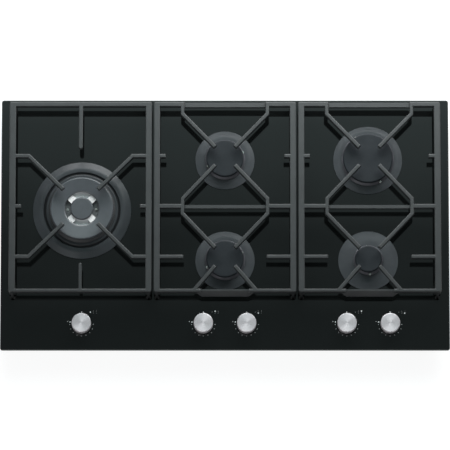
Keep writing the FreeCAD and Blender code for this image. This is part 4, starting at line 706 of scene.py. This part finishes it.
# ---- knobs ------------------------------------------------------------------------------------
# Turned aluminium: a level face with fine lathe rings, a bright chamfer round it and a brushed
# side. Each is pushed on the flat of its steel spindle.
def spun_face(piece, centre):
    """UV for a spun part: u is the angle about its axis, v the distance from it."""
    mesh = piece.data
    layer = mesh.uv_layers.new(name="spun")
    loops = np.empty(len(mesh.loops), int)
    mesh.loops.foreach_get("vertex_index", loops)
    co = np.empty(len(mesh.vertices) * 3)
    mesh.vertices.foreach_get("co", co)
    flat = co.reshape(-1, 3)[loops] - np.array([centre[0], centre[1], 0])
    angle = np.arctan2(flat[:, 1], flat[:, 0]) / (2 * np.pi)
    starts = np.empty(len(mesh.polygons), int)
    mesh.polygons.foreach_get("loop_start", starts)
    sizes = np.empty(len(mesh.polygons), int)
    mesh.polygons.foreach_get("loop_total", sizes)
    first = np.repeat(angle[starts], sizes)
    angle = np.where(angle - first > 0.5, angle - 1,
                     np.where(first - angle > 0.5, angle + 1, angle))
    uv = np.stack([angle, np.hypot(flat[:, 0], flat[:, 1]) * 50 + flat[:, 2] * 10], 1)
    layer.data.foreach_set("uv", uv.ravel())


def spun_aluminium():
    """Bare aluminium with lathe rings: stretched highlights along the rings, fine grooves."""
    material, add, join, shader = coat_of("spun_aluminium", (0.80, 0.81, 0.82), 0.30, Metallic=0.6,
                                          Anisotropic=0.7, Anisotropic_Rotation=0.25)
    tangent = add("ShaderNodeTangent", direction_type="UV_MAP", uv_map="spun")
    join(tangent.outputs[0], shader.inputs["Tangent"])
    rings = add("ShaderNodeUVMap", uv_map="spun")
    stretch = add("ShaderNodeMapping")
    stretch.inputs["Scale"].default_value = (6, 240, 1)
    join(rings.outputs[0], stretch.inputs["Vector"])
    groove = add("ShaderNodeTexNoise", Scale=1.0, Detail=3.0)
    join(stretch.outputs[0], groove.inputs["Vector"])
    tint = add("ShaderNodeMix", data_type="RGBA")
    tint.inputs["A"].default_value = (0.75, 0.71, 0.73, 1)
    tint.inputs["B"].default_value = (0.59, 0.56, 0.58, 1)
    join(groove.outputs[0], tint.inputs[0])
    join(tint.outputs["Result"], shader.inputs["Base Color"])
    dull = add("ShaderNodeMapRange")
    dull.inputs["To Min"].default_value = 0.30
    dull.inputs["To Max"].default_value = 0.40
    join(groove.outputs[0], dull.inputs["Value"])
    join(dull.outputs[0], shader.inputs["Roughness"])
    return material


spun = spun_aluminium()
hub_radius, face_thickness, knob_wall, chamfer = 6 * mm, 3.5 * mm, 2.5 * mm, 1.2 * mm
ring_count = 10
for tap in plan_spots:
    x, y, rim, low, top = spot_of(tap + "_knob")
    hub = low + 2 * mm
    under_face = top - face_thickness
    line = [(0, hub), (hub_radius, hub), (hub_radius, under_face), (rim - knob_wall, under_face),
            (rim - knob_wall, low), (rim, low), (rim, top - chamfer), (rim - chamfer, top)]
    face_rings = np.linspace(rim - knob_wall, 0, ring_count)
    line = np.concatenate([line, np.stack([face_rings, np.full(ring_count, top)], 1)])
    soft = np.array([0, 0.3, 0.3, 0.3, 0.3, 0.3, 0.4, 0.4] + [0] * ring_count) * mm
    knob = lathe(tap + "_turned_knob", rounded(line, soft), (x, y), rides=tap + "_control",
                 material=spun)
    spun_face(knob, (x, y))
    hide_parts(tap + "_knob")

turned_steel = wear(coat_of("turned_steel", (0.60, 0.60, 0.60), 0.3, Metallic=1.0),
                    (0.62, 0.62, 0.62), (0.50, 0.50, 0.51), 350.0, (0.24, 0.36))
machined_brass = wear(coat_of("machined_brass", (0.74, 0.57, 0.28), 0.28, Metallic=1.0),
                      (0.76, 0.59, 0.30), (0.62, 0.46, 0.21), 180.0, (0.22, 0.36))
for tap in plan_spots:
    wearing(tap + "_spindle", turned_steel)
    wearing(tap + "_tap_plug", machined_brass)


# ---- gas path and ignition, inside the tray ---------------------------------------------------
# Drawn aluminium pipes, a painted steel rail, brass jets and entry elbow, and the white moulded
# spark generator. Only the elbow's threaded end shows, in the recess underneath.
for node in ("gas_injectors", "gas_inlet_elbow"):
    wearing(node, machined_brass)
wearing("burner_pipes", wear(coat_of("drawn_aluminium", (0.74, 0.75, 0.76), 0.3, Metallic=1.0),
                             (0.76, 0.77, 0.78), (0.64, 0.65, 0.66), 120.0, (0.26, 0.38)))
wearing("gas_rail", wear(coat_of("grey_coated_steel", (0.28, 0.29, 0.30), 0.4),
                         (0.28, 0.29, 0.30), (0.22, 0.23, 0.24), 80.0, (0.35, 0.5),
                         (1200.0, 0.00004)))
wearing("spark_generator", wear(coat_of("moulded_white", (0.78, 0.78, 0.76), 0.5),
                                (0.78, 0.78, 0.76), (0.70, 0.70, 0.68), 90.0, (0.44, 0.56),
                                (1800.0, 0.00004)))
